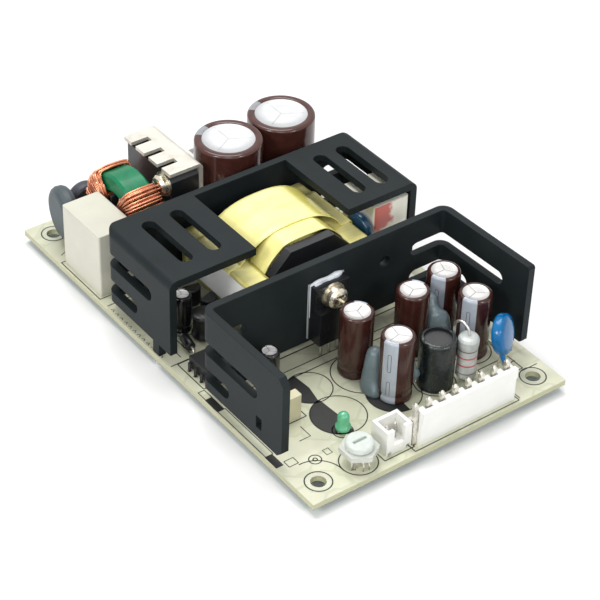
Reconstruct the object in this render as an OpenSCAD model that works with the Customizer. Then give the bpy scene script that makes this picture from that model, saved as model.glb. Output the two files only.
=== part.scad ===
// Open frame power supply on a 5 x 3 inch circuit board.
// The frame: origin at the centre of the four mounting holes, on the underside of the board.
// +X runs along the short edge, +Y runs from the output edge to the input edge, +Z is up.

/* [Board] */
// width of the board, along X
board_w = 76.2; // [70:0.1:90]
// length of the board, along Y
board_l = 127; // [120:0.1:150]
// thickness of the board
board_t = 1.6; // [1:0.1:2.4]
// distance of each mounting hole from the two nearest edges
hole_inset = 5.6; // [4.5:0.1:6.5]
// diameter of the mounting holes
hole_d = 3.8; // [3:0.1:4.5]

/* [Leads] */
// diameter of a wire lead
lead_d = 0.7; // [0.5:0.05:0.9]
// diameter of a heavy post or fixing tongue
post_d = 1.3; // [1:0.05:1.6]
// radial clearance of a lead in its board hole
lead_gap = 0.15; // [0.05:0.05:0.3]
// height of a soldered joint under the board
joint_h = 2.0; // [1:0.1:3]
// how much wider a soldered joint is than its lead
joint_rim = 0.6; // [0.4:0.05:0.6]

/* [Heatsinks] */
// sheet thickness of both heatsinks
sheet_t = 2; // [1.5:0.1:2.5]
// gap between the board and the lower edge of a heatsink
sink_gap = 3.6; // [2:0.1:5]
// outer radius of the bends
bend_r = 3; // [2.6:0.1:4]
// width of the ventilation slots
slot_w = 3.8; // [3:0.1:5]
// outer radius of the bend between a side and its top tab
tab_bend_r = 2.2; // [2.1:0.1:3]
// gap between the rear heatsink and the left edge of the board
rear_gap_left = 0.4; // [0:0.1:3]
// gap between the rear heatsink and the right edge of the board
rear_gap_right = 0.7; // [0:0.1:3]
// depth of the rear heatsink, along Y
rear_d = 28.6; // [24:0.1:32]
// top of the rear heatsink above the board
rear_h = 25.4; // [24:0.1:29]
// distance from the middle of the transformer to the edge of each top tab
tab_clear = 14.1; // [12:0.1:20]
// gap between the front heatsink and the left edge of the board
front_gap_left = 0.6; // [0:0.1:3]
// gap between the front heatsink and the right edge of the board
front_gap_right = 1.9; // [0:0.1:3]
// top of the front heatsink above the board
front_h = 26.4; // [25:0.1:30]
// depth of the left flange of the front heatsink
front_left_d = 32.7; // [28:0.1:35]
// depth of the right flange of the front heatsink
front_right_d = 32.1; // [26:0.1:35]
// angle by which the right flange opens outwards
front_splay = 2.2; // [0:0.1:3]

/* [Transformer] */
// width of the ferrite core, along X
core_w = 36.6; // [34:0.1:38]
// length of the ferrite core, along Y
core_l = 35.6; // [33:0.1:36]
// height of the core legs
core_h = 11.4; // [10:0.1:13]
// width of one outer leg and thickness of one yoke
leg_w = 6; // [5:0.1:6.5]
// diameter of the round centre leg
centre_leg_d = 11.2; // [9:0.1:12]
// gap between the board and the core
core_gap = 5.8; // [5:0.1:7]
// height of the bobbin flanges above the core's centre
flange_up = 11.9; // [11:0.1:13]
// thickness of a bobbin flange
flange_t = 2.6; // [1.5:0.1:3]
// thickness of a wrap of tape
tape_t = 0.3; // [0.2:0.05:0.4]

/* [Large capacitors] */
// diameter of an input capacitor
bulk_d = 18; // [16:0.1:18.2]
// height of an input capacitor
bulk_h = 27.4; // [24:0.1:32]
// thickness of its plastic sleeve
sleeve_t = 0.3; // [0.2:0.05:0.5]

/* [Output capacitors] */
// diameter of an output capacitor
out_d = 8.4; // [8:0.1:10]
// height of an output capacitor
out_h = 18.4; // [14:0.1:21]
// distance between the two leads of an output capacitor
out_pitch = 3.5; // [2.5:0.5:3.5]

/* [Input side] */
// width of the boxed input capacitor, along X
xcap_w = 10.8; // [8:0.1:11.4]
// length of the boxed input capacitor, along Y
xcap_l = 17.4; // [15:0.1:18]
// height of the boxed input capacitor
xcap_h = 18.4; // [14:0.1:22]
// outer diameter of the ring of the line choke
ring_d = 22; // [20:0.1:22.4]
// inner diameter of the ring of the line choke
ring_bore = 12; // [10:0.1:13]
// width of the ring of the line choke
ring_w = 7.6; // [6:0.1:8]
// thickness of its windings
ring_wire = 0.9; // [0.6:0.05:1]
// diameter of the inrush thermistor
ntc_d = 14.4; // [12:0.1:14.6]
// thickness of the inrush thermistor
ntc_t = 4.6; // [3:0.1:5]
// sheet thickness of the bridge bracket
bracket_t = 1; // [0.8:0.1:1.5]
// width of the top of the bridge bracket
bracket_w = 10.1; // [9.9:0.1:11]
// length of the bridge bracket
bracket_l = 21.3; // [20.9:0.1:22]
// top of the bridge bracket above the board
bracket_h = 26.4; // [25:0.1:29]

/* [Output side] */
// distance between the output pins
pin_pitch = 3.96; // [3.5:0.01:4.1]
// number of output pins
pin_count = 8; // [4:1:8]
// height of the tall wall of the output header
wall_h = 9.9; // [8:0.1:11]
// top of the output pins above the board
pin_h = 12.2; // [11.5:0.1:14]
// diameter of the output choke over its sleeve
choke_d = 9; // [8:0.1:9.4]
// height of the output choke
choke_h = 14.2; // [12:0.1:16]
// diameter of the load resistor
res_d = 5.2; // [4:0.1:6]
// length of the load resistor
res_l = 12.4; // [10:0.1:14]
// diameter of the trimmer's dial
dial_d = 6.8; // [5:0.1:7]
// diameter of the status lamp
led_d = 3; // [2.5:0.1:3.4]

/* [Hidden] */
$fn = 40;
eps = 0.01;
left = -board_w / 2;
front = -board_l / 2;
top = board_t;

// A place on the board, as shares of its width and length from the front left corner.
function across(u) = left + u * board_w;
function along(v) = front + v * board_l;
function at(u, v) = [across(u), along(v)];

// ---- heatsinks
sink_z = top + sink_gap;
rear_x0 = left + rear_gap_left;
rear_x1 = left + board_w - rear_gap_right;
rear_w = rear_x1 - rear_x0;
rear_y1 = along(0.6835);
rear_y0 = rear_y1 - rear_d;
rear_z1 = top + rear_h;
front_x0 = left + front_gap_left;
front_x1 = left + board_w - front_gap_right;
front_w = front_x1 - front_x0;
front_y1 = along(0.3614);
front_z1 = top + front_h;
slot_rows = [0.22, 0.59];
front_left_rows = [0.2, 0.55];
front_right_rows = [0.25, 0.62];
rear_slots_up = [for (k = slot_rows) sink_z + k * (rear_z1 - sink_z)];
front_left_up = [for (k = front_left_rows) sink_z + k * (front_z1 - sink_z)];
front_right_up = [for (k = front_right_rows) sink_z + k * (front_z1 - sink_z)];
short_slot = 11.9;
long_slot = 23;
lug_w = 2.6;
lug_back = 6.4;
plate_lug = 12;
// Lugs of both heatsinks: [x, y, 1 where the sheet runs along Y].
rear_lugs = [
    [rear_x0 + sheet_t / 2, rear_y0 + lug_back, 1],
    [rear_x1 - sheet_t / 2, rear_y0 + lug_back, 1],
    [rear_x0 + plate_lug, rear_y1 - sheet_t / 2, 0],
    [rear_x1 - plate_lug, rear_y1 - sheet_t / 2, 0]];
front_lugs = [
    [front_x0 + plate_lug, front_y1 - sheet_t / 2, 0],
    [front_x1 - plate_lug, front_y1 - sheet_t / 2, 0]];

// ---- fasteners of the two clipped semiconductors
screw_d = 3;
thread_gap = 0.05;
screw_head_d = 5.6;
screw_head_h = 2;
washer_d = 6.6;
washer_t = 0.5;
spring_t = 0.7;
pad_t = 0.3;
body_w = 10;
body_h = 15.8;
body_t = 4.6;
hole_from_top = 2.9;
rectifier_x = across(0.4698);
rectifier_y = front_y1 - sheet_t - pad_t;
rectifier_z = top + 5.1;
spare_hole_x = rectifier_x + 18.3;
transistor_y = rear_y1 + pad_t;
transistor_z = top + 3.2;
pad_margin = 0.3;
function screw_z(z) = z + body_h - hole_from_top;
semi_pitch = 2.54;
disc_pitch = 5;
rectifier_leads = [for (i = [-1 : 1]) [rectifier_x + i * semi_pitch, rectifier_y - 2]];

// ---- right side of the transformer: two capacitors beside the heatsink
film_w = 10.8;
film_l = 13;
film_h = 22;
film_gap = 0.3;
film_at = [rear_x1 - sheet_t - film_gap - film_w / 2, along(0.5118)];
film_leads = [for (s = [-1, 1]) [film_at[0], film_at[1] + s * 5]];
ycap_d = 9;
ycap_t = 2.6;
ycap_gap = 0.5;
ycap_z = top + 14.4;
ycap_at = [film_at[0] - film_w / 2 - ycap_gap - ycap_t / 2, along(0.4882)];
ycap_leads = [for (s = [-1, 1]) [ycap_at[0], ycap_at[1] + s * disc_pitch / 2]];

// ---- transformer
core_side_gap = 1.4;
core_rear_share = 0.27;
core_x = ycap_at[0] - ycap_t / 2 - core_side_gap - core_w / 2;
core_y = rear_y1 - sheet_t - core_rear_share * (rear_y1 - sheet_t - front_y1 - core_l) - core_l / 2;
left_tab = core_x - tab_clear - rear_x0;
right_tab = rear_x1 - core_x - tab_clear;
core_z0 = top + core_gap;
core_z1 = core_z0 + core_h;
core_zc = core_z0 + core_h / 2;
window_w = core_w - 2 * leg_w;
window_l = core_l - 2 * leg_w + 1;
yoke_t = (core_l - window_l) / 2;
flange_gap = 0.4;
bobbin_l = window_l - 2 * flange_gap;
tube_t = 1;
tube_r = centre_leg_d / 2 + 0.2;
winding_l = bobbin_l - 2 * flange_t - 0.2;
winding_low = 0.9;
winding_inset = 0.7;
flange_half = window_w / 2 - 0.3;
winding_r = min(flange_up, flange_half) - winding_inset;
flange_flat = 6.6;
band_y0 = core_y - bobbin_l / 2 + flange_t;
band_w = 5.6;
wrap_y0 = band_y0 + band_w;
wrap_w = 15.8;
wrap_rise = 6.9;
wrap_half = flange_half + 3.2;
rail_h = 4.2;
trafo_pin_pitch = 5;
trafo_pins = [for (s = [-1, 1]) for (i = [-2 : 2])
    [core_x + i * trafo_pin_pitch, core_y + s * (core_l / 2 - yoke_t / 2)]];

// ---- capacitors: [place, angle of the line through the leads]
// The parts between the left and the right edge share the width that is left between them.
input_shares = [0.1313, 0.1010, 0.2323, 0.2020, 0.0202];
ring_total = ring_w + 2 * ring_wire;
input_free = board_w - xcap_w - ring_total - bracket_w - 2 * bulk_d;
xcap_x0 = left + input_shares[0] * input_free;
ring_x0 = xcap_x0 + xcap_w + input_shares[1] * input_free;
bracket_x0 = ring_x0 + ring_total + input_shares[2] * input_free;
bracket_x1 = bracket_x0 + bracket_w;
bulk_x0 = bracket_x1 + input_shares[3] * input_free;
bulk_gap = 3.2;
bulk_step = 1.9;
bulk_y = rear_y1 + bulk_gap + bulk_d / 2;
bulk_places = [
    [bulk_x0 + bulk_d / 2, bulk_y],
    [bulk_x0 + 1.5 * bulk_d + input_shares[4] * input_free, bulk_y + bulk_step]];
transistor_x = bulk_x0 - 1.4;
transistor_leads = [for (i = [-1 : 1]) [transistor_x + i * semi_pitch, transistor_y + 2]];
bulk_pitch = 7.5;
bulk_leads = [for (p = bulk_places) for (s = [-1, 1]) [p[0] + s * bulk_pitch / 2, p[1]]];
out_places = [at(0.4790, 0.2535), at(0.5105, 0.1543), at(0.6916, 0.2449), at(0.8386, 0.2591), at(0.8451, 0.1709)];
out_leads = [for (p = out_places) for (s = [-1, 1]) [p[0] + s * out_pitch / 2, p[1]]];
small_d = 5;
small_h = 11;
small_places = [
    [(rear_x0 + sheet_t + core_x - core_w / 2) / 2 - 0.7, along(0.5449)],
    at(0.2100, 0.3087)];
small_pitch = 2;
small_leads = [for (p = small_places) for (s = [-1, 1]) [p[0] + s * small_pitch / 2, p[1]]];
vent_w = 0.5;
vent_h = 0.25;

// ---- input side
xcap_at = [xcap_x0 + xcap_w / 2, along(0.7874)];
xcap_pitch = 15;
xcap_leads = [for (s = [-1, 1]) [xcap_at[0], xcap_at[1] + s * (xcap_l - 2.4) / 2]];
ring_at = [ring_x0 + ring_total / 2, along(0.8189)];
ring_base_t = 1.2;
ring_z = top + ring_base_t + ring_d / 2 + ring_wire;
ring_span = 108;
ring_base_l = 16;
ring_lead_x = ring_w / 2 - 0.4;
ring_leads = [for (s = [-1, 1]) for (e = [-1, 1]) [ring_at[0] + e * ring_lead_x, ring_at[1] + s * 9.5]];
ntc_gap = 0.3;
ntc_at = [across(0.0827), xcap_at[1] + xcap_l / 2 + ntc_gap + ntc_d / 2];
ntc_turn = -9;
ntc_z = top + 9.6;
mov_at = at(0.2021, 0.9559);
mov_d = 10;
mov_t = 4;
mov_z = top + 7.4;
ntc_leads = [for (s = [-1, 1]) ntc_at + s * disc_pitch / 2 * [-sin(ntc_turn), cos(ntc_turn)]];
mov_leads = [for (s = [-1, 1]) mov_at + [s * disc_pitch / 2, 0]];
bracket_y0 = along(0.7441);
bracket_z1 = top + bracket_h;
bracket_lugs = [for (y = [3, bracket_l - 3]) [bracket_x1 - bracket_t / 2, bracket_y0 + y]];
notch_pitch = 6;
notch_w = 2;
notch_reach = 5;
bridge_t = 8.4;
bridge_h = 18;
bridge_gap = 0.7;
bridge_x1 = bracket_x1 - bracket_t;
bridge_x0 = bridge_x1 - bridge_t;
bridge_l = bracket_l - 1;
bridge_y0 = bracket_y0 + (bracket_l - bridge_l) / 2;
bridge_z1 = bracket_z1 - bracket_t - bridge_gap;
bridge_z0 = bridge_z1 - bridge_h;
bridge_screw_y = bracket_y0 + 3.6;
bridge_screw_z = bridge_z1 - 3.2;
bridge_pitch = 5;
bridge_mid = [bridge_x0 + bridge_t / 2, bridge_y0 + bridge_l / 2];
bridge_leads = [for (i = [0 : 3]) [bridge_mid[0], bridge_mid[1] + (i - 1.5) * bridge_pitch]];
fuse_d = 8.4;
fuse_gap = 1.4;
fuse_at = [across(0.4068), bracket_y0 + bracket_l + fuse_gap + fuse_d / 2];
fuse_h = 7.6;
fuse_leads = [for (s = [-1, 1]) [fuse_at[0] + s * 2.54, fuse_at[1]]];
inlet_at = at(0.7218, 0.9386);
inlet_w = 14;
inlet_l = 8.4;
inlet_h = 9.4;
inlet_floor = 3;
inlet_wall = 1.1;
inlet_pin_h = 9;
inlet_pins = [for (s = [-1, 1]) [inlet_at[0] + s * pin_pitch, inlet_at[1]]];

// ---- control parts
dip_w = 6.4;
dip_t = 3.3;
dip_row = 7.62;
dip_pitch = 2.54;
dip_gap = 0.4;
controller_at = at(0.0958, 0.4000);
controller_pairs = 4;
coupler_at = at(0.8661, 0.3874);
coupler_pairs = 2;
function dip_leads(p, pairs) = [for (s = [-1, 1]) for (i = [0 : pairs - 1])
    [p[0] + s * dip_row / 2, p[1] + (i - (pairs - 1) / 2) * dip_pitch]];

// ---- output side
wall_y0 = front + 1.3;
header_y = wall_y0 + 2.13;
header_x0 = across(0.4121);
header_pins = [for (i = [0 : pin_count - 1]) [header_x0 + i * pin_pitch, header_y]];
pin_w = 1.14;
pin_slack = 0.05;
wall_t = 1.1;
wall_step = 0.35;
header_base_t = 3.2;
header_base_l = 7;
header_start = header_x0 + pin_w / 2 + 0.1;
header_end = header_x0 + (pin_count - 1) * pin_pitch + 1.98;
rib_w = pin_pitch - pin_w - 1;
rib_l = 1.9;
sense_at = at(0.3543, 0.0480);
sense_w = 7.4;
sense_l = 5.8;
sense_h = 7;
sense_wall = 0.9;
sense_floor = 1.6;
sense_pitch = 2.5;
sense_pin_w = 0.64;
sense_pins = [for (s = [-1, 1]) [sense_at[0] + s * sense_pitch / 2, sense_at[1] + 0.4]];
box_at = at(0.1601, 0.2142);
box_w = 7.2;
box_l = 2.7;
box_h = 6.7;
box_leads = [for (s = [-1, 1]) [box_at[0] + s * 2.5, box_at[1]]];
choke_at = at(0.6509, 0.1378);
choke_lift = 0.6;
shrink_t = 0.4;
drum_t = 1.6;
drum_r = choke_d / 2 - shrink_t;
drum_waist = 2;
choke_leads = [for (s = [-1, 1]) [choke_at[0] + s * 2.5, choke_at[1]]];
res_gap = 0.3;
res_turn = -29.7;
res_at = choke_at + (choke_d / 2 + res_gap + res_d / 2) * [cos(res_turn), sin(res_turn)];
res_lift = 1.6;
res_back = [-0.6, 4.6];
res_arch = 0.3;
res_leads = [res_at, res_at + res_back];
ceramic_at = at(0.8596, 0.0961);
ceramic_d = 10;
ceramic_t = 3.4;
ceramic_turn = 20;
ceramic_z = top + 11.2;
ceramic_leads = [for (s = [-1, 1]) ceramic_at + s * disc_pitch / 2 * [cos(ceramic_turn), sin(ceramic_turn)]];
led_at = at(0.2717, 0.1276);
led_lift = 0.9;
led_h = 4.8;
led_pitch = 1.27;
led_leads = [for (s = [-1, 1]) [led_at[0] + s * led_pitch, led_at[1]]];
dial_at = at(0.2257, 0.0449);
dial_t = 1.8;
dial_gap = 0.08;
dial_boss_d = 2.4;
trimmer_lift = 3.4;
trimmer_base_t = 1.4;
trimmer_base_d = dial_d + 1.6;
trimmer_leg = dial_d / 2 - 0.6;
trimmer_leads = [for (a = [90, 210, 330]) dial_at + trimmer_leg * [cos(a), sin(a)]];

wire_leads = concat(rectifier_leads, transistor_leads, trafo_pins, bulk_leads, out_leads, small_leads,
    xcap_leads, ring_leads, ntc_leads, mov_leads, bridge_leads, fuse_leads, ycap_leads, film_leads,
    dip_leads(controller_at, controller_pairs), dip_leads(coupler_at, coupler_pairs), sense_pins,
    box_leads, choke_leads, res_leads, ceramic_leads, led_leads, trimmer_leads);
post_leads = concat(header_pins, inlet_pins, rear_lugs, front_lugs, bracket_lugs);

// ---------------------------------------------------------------- shared shapes

module lead(p, z, d = lead_d) {
    translate([p[0], p[1], 0]) cylinder(d = d, h = z, $fn = 16);
}

module leads(list, z, d = lead_d) {
    for (p = list) lead(p, z, d);
}

// A rounded bar from the low corner, used for upright boxes with soft vertical edges.
module soft_box(size, r = 0.5) {
    translate([r, 0, 0]) cube([size[0] - 2 * r, size[1], size[2]]);
    translate([0, r, 0]) cube([size[0], size[1] - 2 * r, size[2]]);
    for (x = [r, size[0] - r]) for (y = [r, size[1] - r])
        translate([x, y, 0]) cylinder(r = r, h = size[2], $fn = 20);
}

module centred_box(p, size, z, r = 0.5) {
    translate([p[0] - size[0] / 2, p[1] - size[1] / 2, z]) soft_box(size, r);
}

// ---------------------------------------------------------------- board

module pcb() {
    color([0.78, 0.80, 0.66]) difference() {
        translate([left, front, 0]) cube([board_w, board_l, board_t]);
        for (x = [-1, 1]) for (y = [-1, 1])
            translate([x * (board_w / 2 - hole_inset), y * (board_l / 2 - hole_inset), -1])
                cylinder(d = hole_d, h = board_t + 2);
        for (p = wire_leads) translate([p[0], p[1], -1])
            cylinder(d = lead_d + 2 * lead_gap, h = board_t + 2, $fn = 16);
        for (p = post_leads) translate([p[0], p[1], -1])
            cylinder(d = post_d + 2 * lead_gap, h = board_t + 2, $fn = 16);
    }
}

// Each joint is a cone of solder with the clipped end of its lead inside.
module solder_joint(p, d) {
    wide = d + 2 * lead_gap + 2 * joint_rim;
    translate([p[0], p[1], -joint_h]) cylinder(d1 = d, d2 = wide, h = joint_h, $fn = 16);
}

module solder_joints() {
    color([0.72, 0.73, 0.74]) for (p = wire_leads) solder_joint(p, lead_d);
}

module post_joints() {
    color([0.72, 0.73, 0.74]) for (p = post_leads) solder_joint(p, post_d);
}

// ---------------------------------------------------------------- heatsinks

// A quarter of a bend, seen from above: its outer corner points to -X and +Y.
module bend_quarter(r, t) {
    intersection() {
        difference() {
            circle(r = r);
            circle(r = r - t);
        }
        translate([-r, 0]) square([r, r]);
    }
}

// A U of sheet seen from above, open towards -Y, with rounded bends at the back.
module u_plan(w, d_left, d_right, splay = 0) {
    translate([bend_r, -sheet_t]) square([w - 2 * bend_r, sheet_t]);
    translate([0, -d_left]) square([sheet_t, d_left - bend_r]);
    translate([w, -bend_r]) rotate([0, 0, splay]) translate([-sheet_t, bend_r - d_right])
        square([sheet_t, d_right - bend_r + (splay > 0 ? 0.1 : 0)]);
    translate([bend_r, -bend_r]) bend_quarter(bend_r, sheet_t);
    translate([w - bend_r, -bend_r]) mirror([1, 0]) bend_quarter(bend_r, sheet_t);
}

// A slot cut in a side flange that runs round the bend into the back plate.
module side_slot(x, y1, z, reach, plate_reach, side) {
    far = y1 - reach;
    turn = x + side * plate_reach;
    translate([x - 1 - sheet_t, far + slot_w / 2, z]) rotate([0, 90, 0]) cylinder(d = slot_w, h = 2 * sheet_t + 2);
    translate([x - 1 - sheet_t, far + slot_w / 2, z - slot_w / 2])
        cube([2 * sheet_t + 2, reach - slot_w / 2 + 1, slot_w]);
    translate([turn - side * slot_w / 2, y1 + 1, z]) rotate([90, 0, 0]) cylinder(d = slot_w, h = sheet_t + 2);
    translate([min(x - side, turn - side * slot_w / 2), y1 - sheet_t - 1, z - slot_w / 2])
        cube([plate_reach - slot_w / 2 + 1, sheet_t + 2, slot_w]);
}

module lug(p, y_way) {
    size = y_way == 1 ? [sheet_t, lug_w] : [lug_w, sheet_t];
    translate([p[0] - size[0] / 2, p[1] - size[1] / 2, top]) cube([size[0], size[1], sink_gap + eps]);
    lead(p, top + eps, post_d);
}

module tab_profile(reach) {
    rise = rear_h - sink_gap;
    square([sheet_t, rise - tab_bend_r]);
    translate([tab_bend_r, rise - sheet_t]) square([reach - tab_bend_r, sheet_t]);
    translate([tab_bend_r, rise - tab_bend_r]) bend_quarter(tab_bend_r, sheet_t);
}

// The outline of a bent sheet seen from above, filled, with its two back corners rounded.
module filled_plan(w, d) {
    translate([0, -d]) square([w, d - bend_r]);
    translate([bend_r, -d]) square([w - 2 * bend_r, d]);
    for (x = [bend_r, w - bend_r]) translate([x, -bend_r]) circle(r = bend_r);
}

// A side flange whose upper edge is bent inwards as a top tab.
module tabbed_flange(reach) {
    translate([0, 0, sink_z]) rotate([90, 0, 0]) linear_extrude(height = rear_d) tab_profile(reach);
}

module top_slot(x, y0, y1) {
    for (y = [y0 + slot_w / 2, y1 - slot_w / 2])
        translate([x, y, rear_z1 - sheet_t - 1]) cylinder(d = slot_w, h = sheet_t + 2);
    translate([x - slot_w / 2, y0 + slot_w / 2, rear_z1 - sheet_t - 1])
        cube([slot_w, y1 - y0 - slot_w, sheet_t + 2]);
}

module rear_heatsink() {
    fold = rear_z1 - tab_bend_r;
    color([0.17, 0.18, 0.19]) {
        difference() {
            union() {
                translate([rear_x0, rear_y1, sink_z]) linear_extrude(height = fold - sink_z)
                    u_plan(rear_w, rear_d, rear_d);
                translate([rear_x0 + bend_r, rear_y1 - sheet_t, sink_z])
                    cube([rear_w - 2 * bend_r, sheet_t, rear_h - sink_gap]);
                intersection() {
                    union() {
                        translate([rear_x0, rear_y1, 0]) tabbed_flange(left_tab);
                        translate([rear_x1, rear_y1, 0]) mirror([1, 0, 0]) tabbed_flange(right_tab);
                    }
                    translate([rear_x0, rear_y1, fold - eps]) linear_extrude(height = tab_bend_r + 1)
                        filled_plan(rear_w, rear_d);
                }
            }
            for (i = [0, 1]) {
                side_slot(rear_x0, rear_y1, rear_slots_up[i], rear_d - (i == 0 ? 14.5 : 8), 10, 1);
                side_slot(rear_x1, rear_y1, rear_slots_up[i], rear_d - (i == 0 ? 14.5 : 8), 10, -1);
            }
            for (k = [0.36, 0.69]) {
                top_slot(rear_x0 + k * left_tab, rear_y0 + 5, rear_y1 - 4.4);
                top_slot(rear_x1 - (k - 0.04) * right_tab, rear_y0 + 4.2, rear_y1 - 5);
            }
            translate([transistor_x, rear_y1 + 1, screw_z(transistor_z)]) rotate([90, 0, 0])
                cylinder(d = screw_d + 2 * thread_gap, h = sheet_t + 2);
        }
        for (p = rear_lugs) lug(p, p[2]);
    }
}

module front_corner_cut(x, y, c) {
    for (z = [sink_z, front_z1])
        translate([x, y, z]) rotate([45, 0, 0]) cube([4 * sheet_t, c * sqrt(2), c * sqrt(2)], center = true);
}

module front_heatsink() {
    left_chamfer = 1.7;
    right_chamfer = 0.5;
    tag_w = 2.2;
    tag_h = 3.4;
    tag_back = 23.8;
    tag_up = 4.6;
    color([0.17, 0.18, 0.19]) {
        difference() {
            translate([front_x0, front_y1, sink_z]) linear_extrude(height = front_h - sink_gap)
                u_plan(front_w, front_left_d, front_right_d, front_splay);
            front_corner_cut(front_x0 + sheet_t / 2, front_y1 - front_left_d, left_chamfer);
            front_corner_cut(front_x1 - sheet_t / 2 + 1, front_y1 - front_right_d, right_chamfer);
            for (i = [0, 1]) {
                side_slot(front_x0, front_y1, front_left_up[i], i == 0 ? short_slot : long_slot, 12, 1);
                side_slot(front_x1, front_y1, front_right_up[i], i == 0 ? short_slot : long_slot + 0.8, 12, -1);
            }
            translate([front_x0 - 1, front_y1 - tag_back - tag_w / 2, sink_z + tag_up - tag_h / 2])
                cube([sheet_t + 2, tag_w, tag_h]);
            for (x = [rectifier_x, spare_hole_x])
                translate([x, front_y1 + 1, screw_z(rectifier_z)]) rotate([90, 0, 0])
                    cylinder(d = screw_d + 2 * thread_gap, h = sheet_t + 2);
        }
        for (p = front_lugs) lug(p, p[2]);
    }
}

// ---------------------------------------------------------------- clipped semiconductors

// A three-lead package with its back at y = 0, facing -Y, and its leads bent down to the board.
module power_package(z) {
    tab_t = 2.6;
    shoulder = 6.2;
    difference() {
        translate([-body_w / 2, -body_t, z]) cube([body_w, body_t, body_h]);
        translate([0, 1, screw_z(z)]) rotate([90, 0, 0]) cylinder(d = screw_d + 0.4, h = body_t + 2);
        translate([-body_w / 2 - 1, -body_t - 1, z + body_h - shoulder])
            cube([body_w + 2, body_t - tab_t + 1, shoulder + 1]);
    }
    for (i = [-1 : 1]) lead([i * semi_pitch, -2], z + eps);
}

module output_rectifier() {
    color([0.06, 0.06, 0.07]) translate([rectifier_x, rectifier_y, 0]) power_package(rectifier_z);
}

module switching_transistor() {
    color([0.06, 0.06, 0.07]) translate([transistor_x, transistor_y, 0]) mirror([0, 1, 0]) power_package(transistor_z);
}

module pad(z) {
    difference() {
        translate([-body_w / 2 - pad_margin, -pad_t, z - pad_margin])
            cube([body_w + 2 * pad_margin, pad_t, body_h + 2 * pad_margin]);
        translate([0, 1, screw_z(z)]) rotate([90, 0, 0]) cylinder(d = screw_d + 0.4, h = pad_t + 2);
    }
}

module insulating_pads() {
    color([0.55, 0.57, 0.58]) {
        translate([rectifier_x, front_y1 - sheet_t, 0]) pad(rectifier_z);
        translate([transistor_x, rear_y1, 0]) mirror([0, 1, 0]) pad(transistor_z);
    }
}

// Everything on a screw is drawn along +Z from the face that it clamps.
module at_screws() {
    tab_t = 2.6;
    translate([rectifier_x, rectifier_y - tab_t, screw_z(rectifier_z)]) rotate([90, 0, 0]) children();
    translate([transistor_x, transistor_y + tab_t, screw_z(transistor_z)]) rotate([-90, 0, 0]) children();
}

module cross_slot(z) {
    for (a = [45, 135]) rotate([0, 0, a]) translate([-1.6, -0.35, z - 1]) cube([3.2, 0.7, 2]);
}

module pan_head(d, h) {
    difference() {
        rotate_extrude() polygon([[0, 0], [d / 2, 0], [d / 2, h * 0.55], [d / 2 - h * 0.3, h * 0.9], [d / 2 - h * 0.6, h], [0, h]]);
        cross_slot(h);
    }
}

module screws() {
    grip = washer_t + spring_t;
    color([0.75, 0.74, 0.70]) at_screws() {
        translate([0, 0, grip]) pan_head(screw_head_d, screw_head_h);
        translate([0, 0, -2.6 - pad_t - sheet_t]) cylinder(d = screw_d, h = 2.6 + pad_t + sheet_t + grip + eps);
    }
}

module ring(d, bore, h) {
    difference() {
        cylinder(d = d, h = h);
        translate([0, 0, -1]) cylinder(d = bore, h = h + 2);
    }
}

module flat_washers() {
    color([0.70, 0.70, 0.68]) {
        at_screws() ring(washer_d, screw_d + 0.2, washer_t);
        at_bridge_screw() ring(washer_d, screw_d + 0.2, washer_t);
    }
}

module spring_washers() {
    color([0.62, 0.62, 0.60]) at_screws() translate([0, 0, washer_t]) difference() {
        ring(screw_head_d - 0.2, screw_d + 0.2, spring_t);
        rotate([0, 0, 30]) translate([0, -0.2, -1]) cube([screw_head_d, 0.4, spring_t + 2]);
    }
}

// ---------------------------------------------------------------- bridge rectifier on its bracket

module bridge_bracket() {
    r = 1.6;
    span = bracket_w - r;
    drop = bracket_h - sink_gap;
    color([0.80, 0.80, 0.76]) {
        difference() {
            translate([bracket_x1, bracket_y0 + bracket_l, bracket_z1]) rotate([90, 0, 0])
                linear_extrude(height = bracket_l) {
                    translate([-bracket_w, -bracket_t]) square([span, bracket_t]);
                    translate([-bracket_t, -drop]) square([bracket_t, drop - r]);
                    translate([-r, -r]) intersection() {
                        difference() {
                            circle(r = r);
                            circle(r = r - bracket_t);
                        }
                        square([r, r]);
                    }
                }
            for (i = [0 : 2])
                translate([bracket_x0 - 1, bracket_y0 + 3.9 + i * notch_pitch, bracket_z1 - bracket_t - 1])
                    cube([notch_reach + 1, notch_w, bracket_t + 2]);
            translate([bracket_x1 - bracket_t - 1, bridge_screw_y, bridge_screw_z]) rotate([0, 90, 0])
                cylinder(d = screw_d + 2 * thread_gap, h = bracket_t + 2);
        }
        for (p = bracket_lugs) {
            translate([p[0] - bracket_t / 2, p[1] - 1.5, top]) cube([bracket_t, 3, sink_gap + eps]);
            lead(p, top + eps, post_d);
        }
    }
}

module bridge_rectifier() {
    bevel = 2.2;
    color([0.07, 0.07, 0.08]) {
        difference() {
            translate([bridge_x0, bridge_y0, bridge_z0]) cube([bridge_t, bridge_l, bridge_h]);
            translate([bridge_x0 - 1, bridge_screw_y, bridge_screw_z]) rotate([0, 90, 0])
                cylinder(d = screw_d + 0.4, h = bridge_t + 2);
            translate([bridge_x0 - 1, bridge_y0, bridge_z1]) rotate([45, 0, 0])
                cube([2 * bridge_t + 4, bevel, bevel], center = true);
        }
        leads(bridge_leads, bridge_z0 + eps);
    }
}

module at_bridge_screw() {
    translate([bridge_x0, bridge_screw_y, bridge_screw_z]) rotate([0, -90, 0]) children();
}

module bridge_screw() {
    grip = bridge_t + bracket_t + 0.6;
    color([0.70, 0.66, 0.55]) at_bridge_screw() {
        translate([0, 0, washer_t]) pan_head(screw_head_d, screw_head_h);
        translate([0, 0, -grip]) cylinder(d = screw_d, h = grip + washer_t + eps);
    }
}

// ---------------------------------------------------------------- transformer

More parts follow.
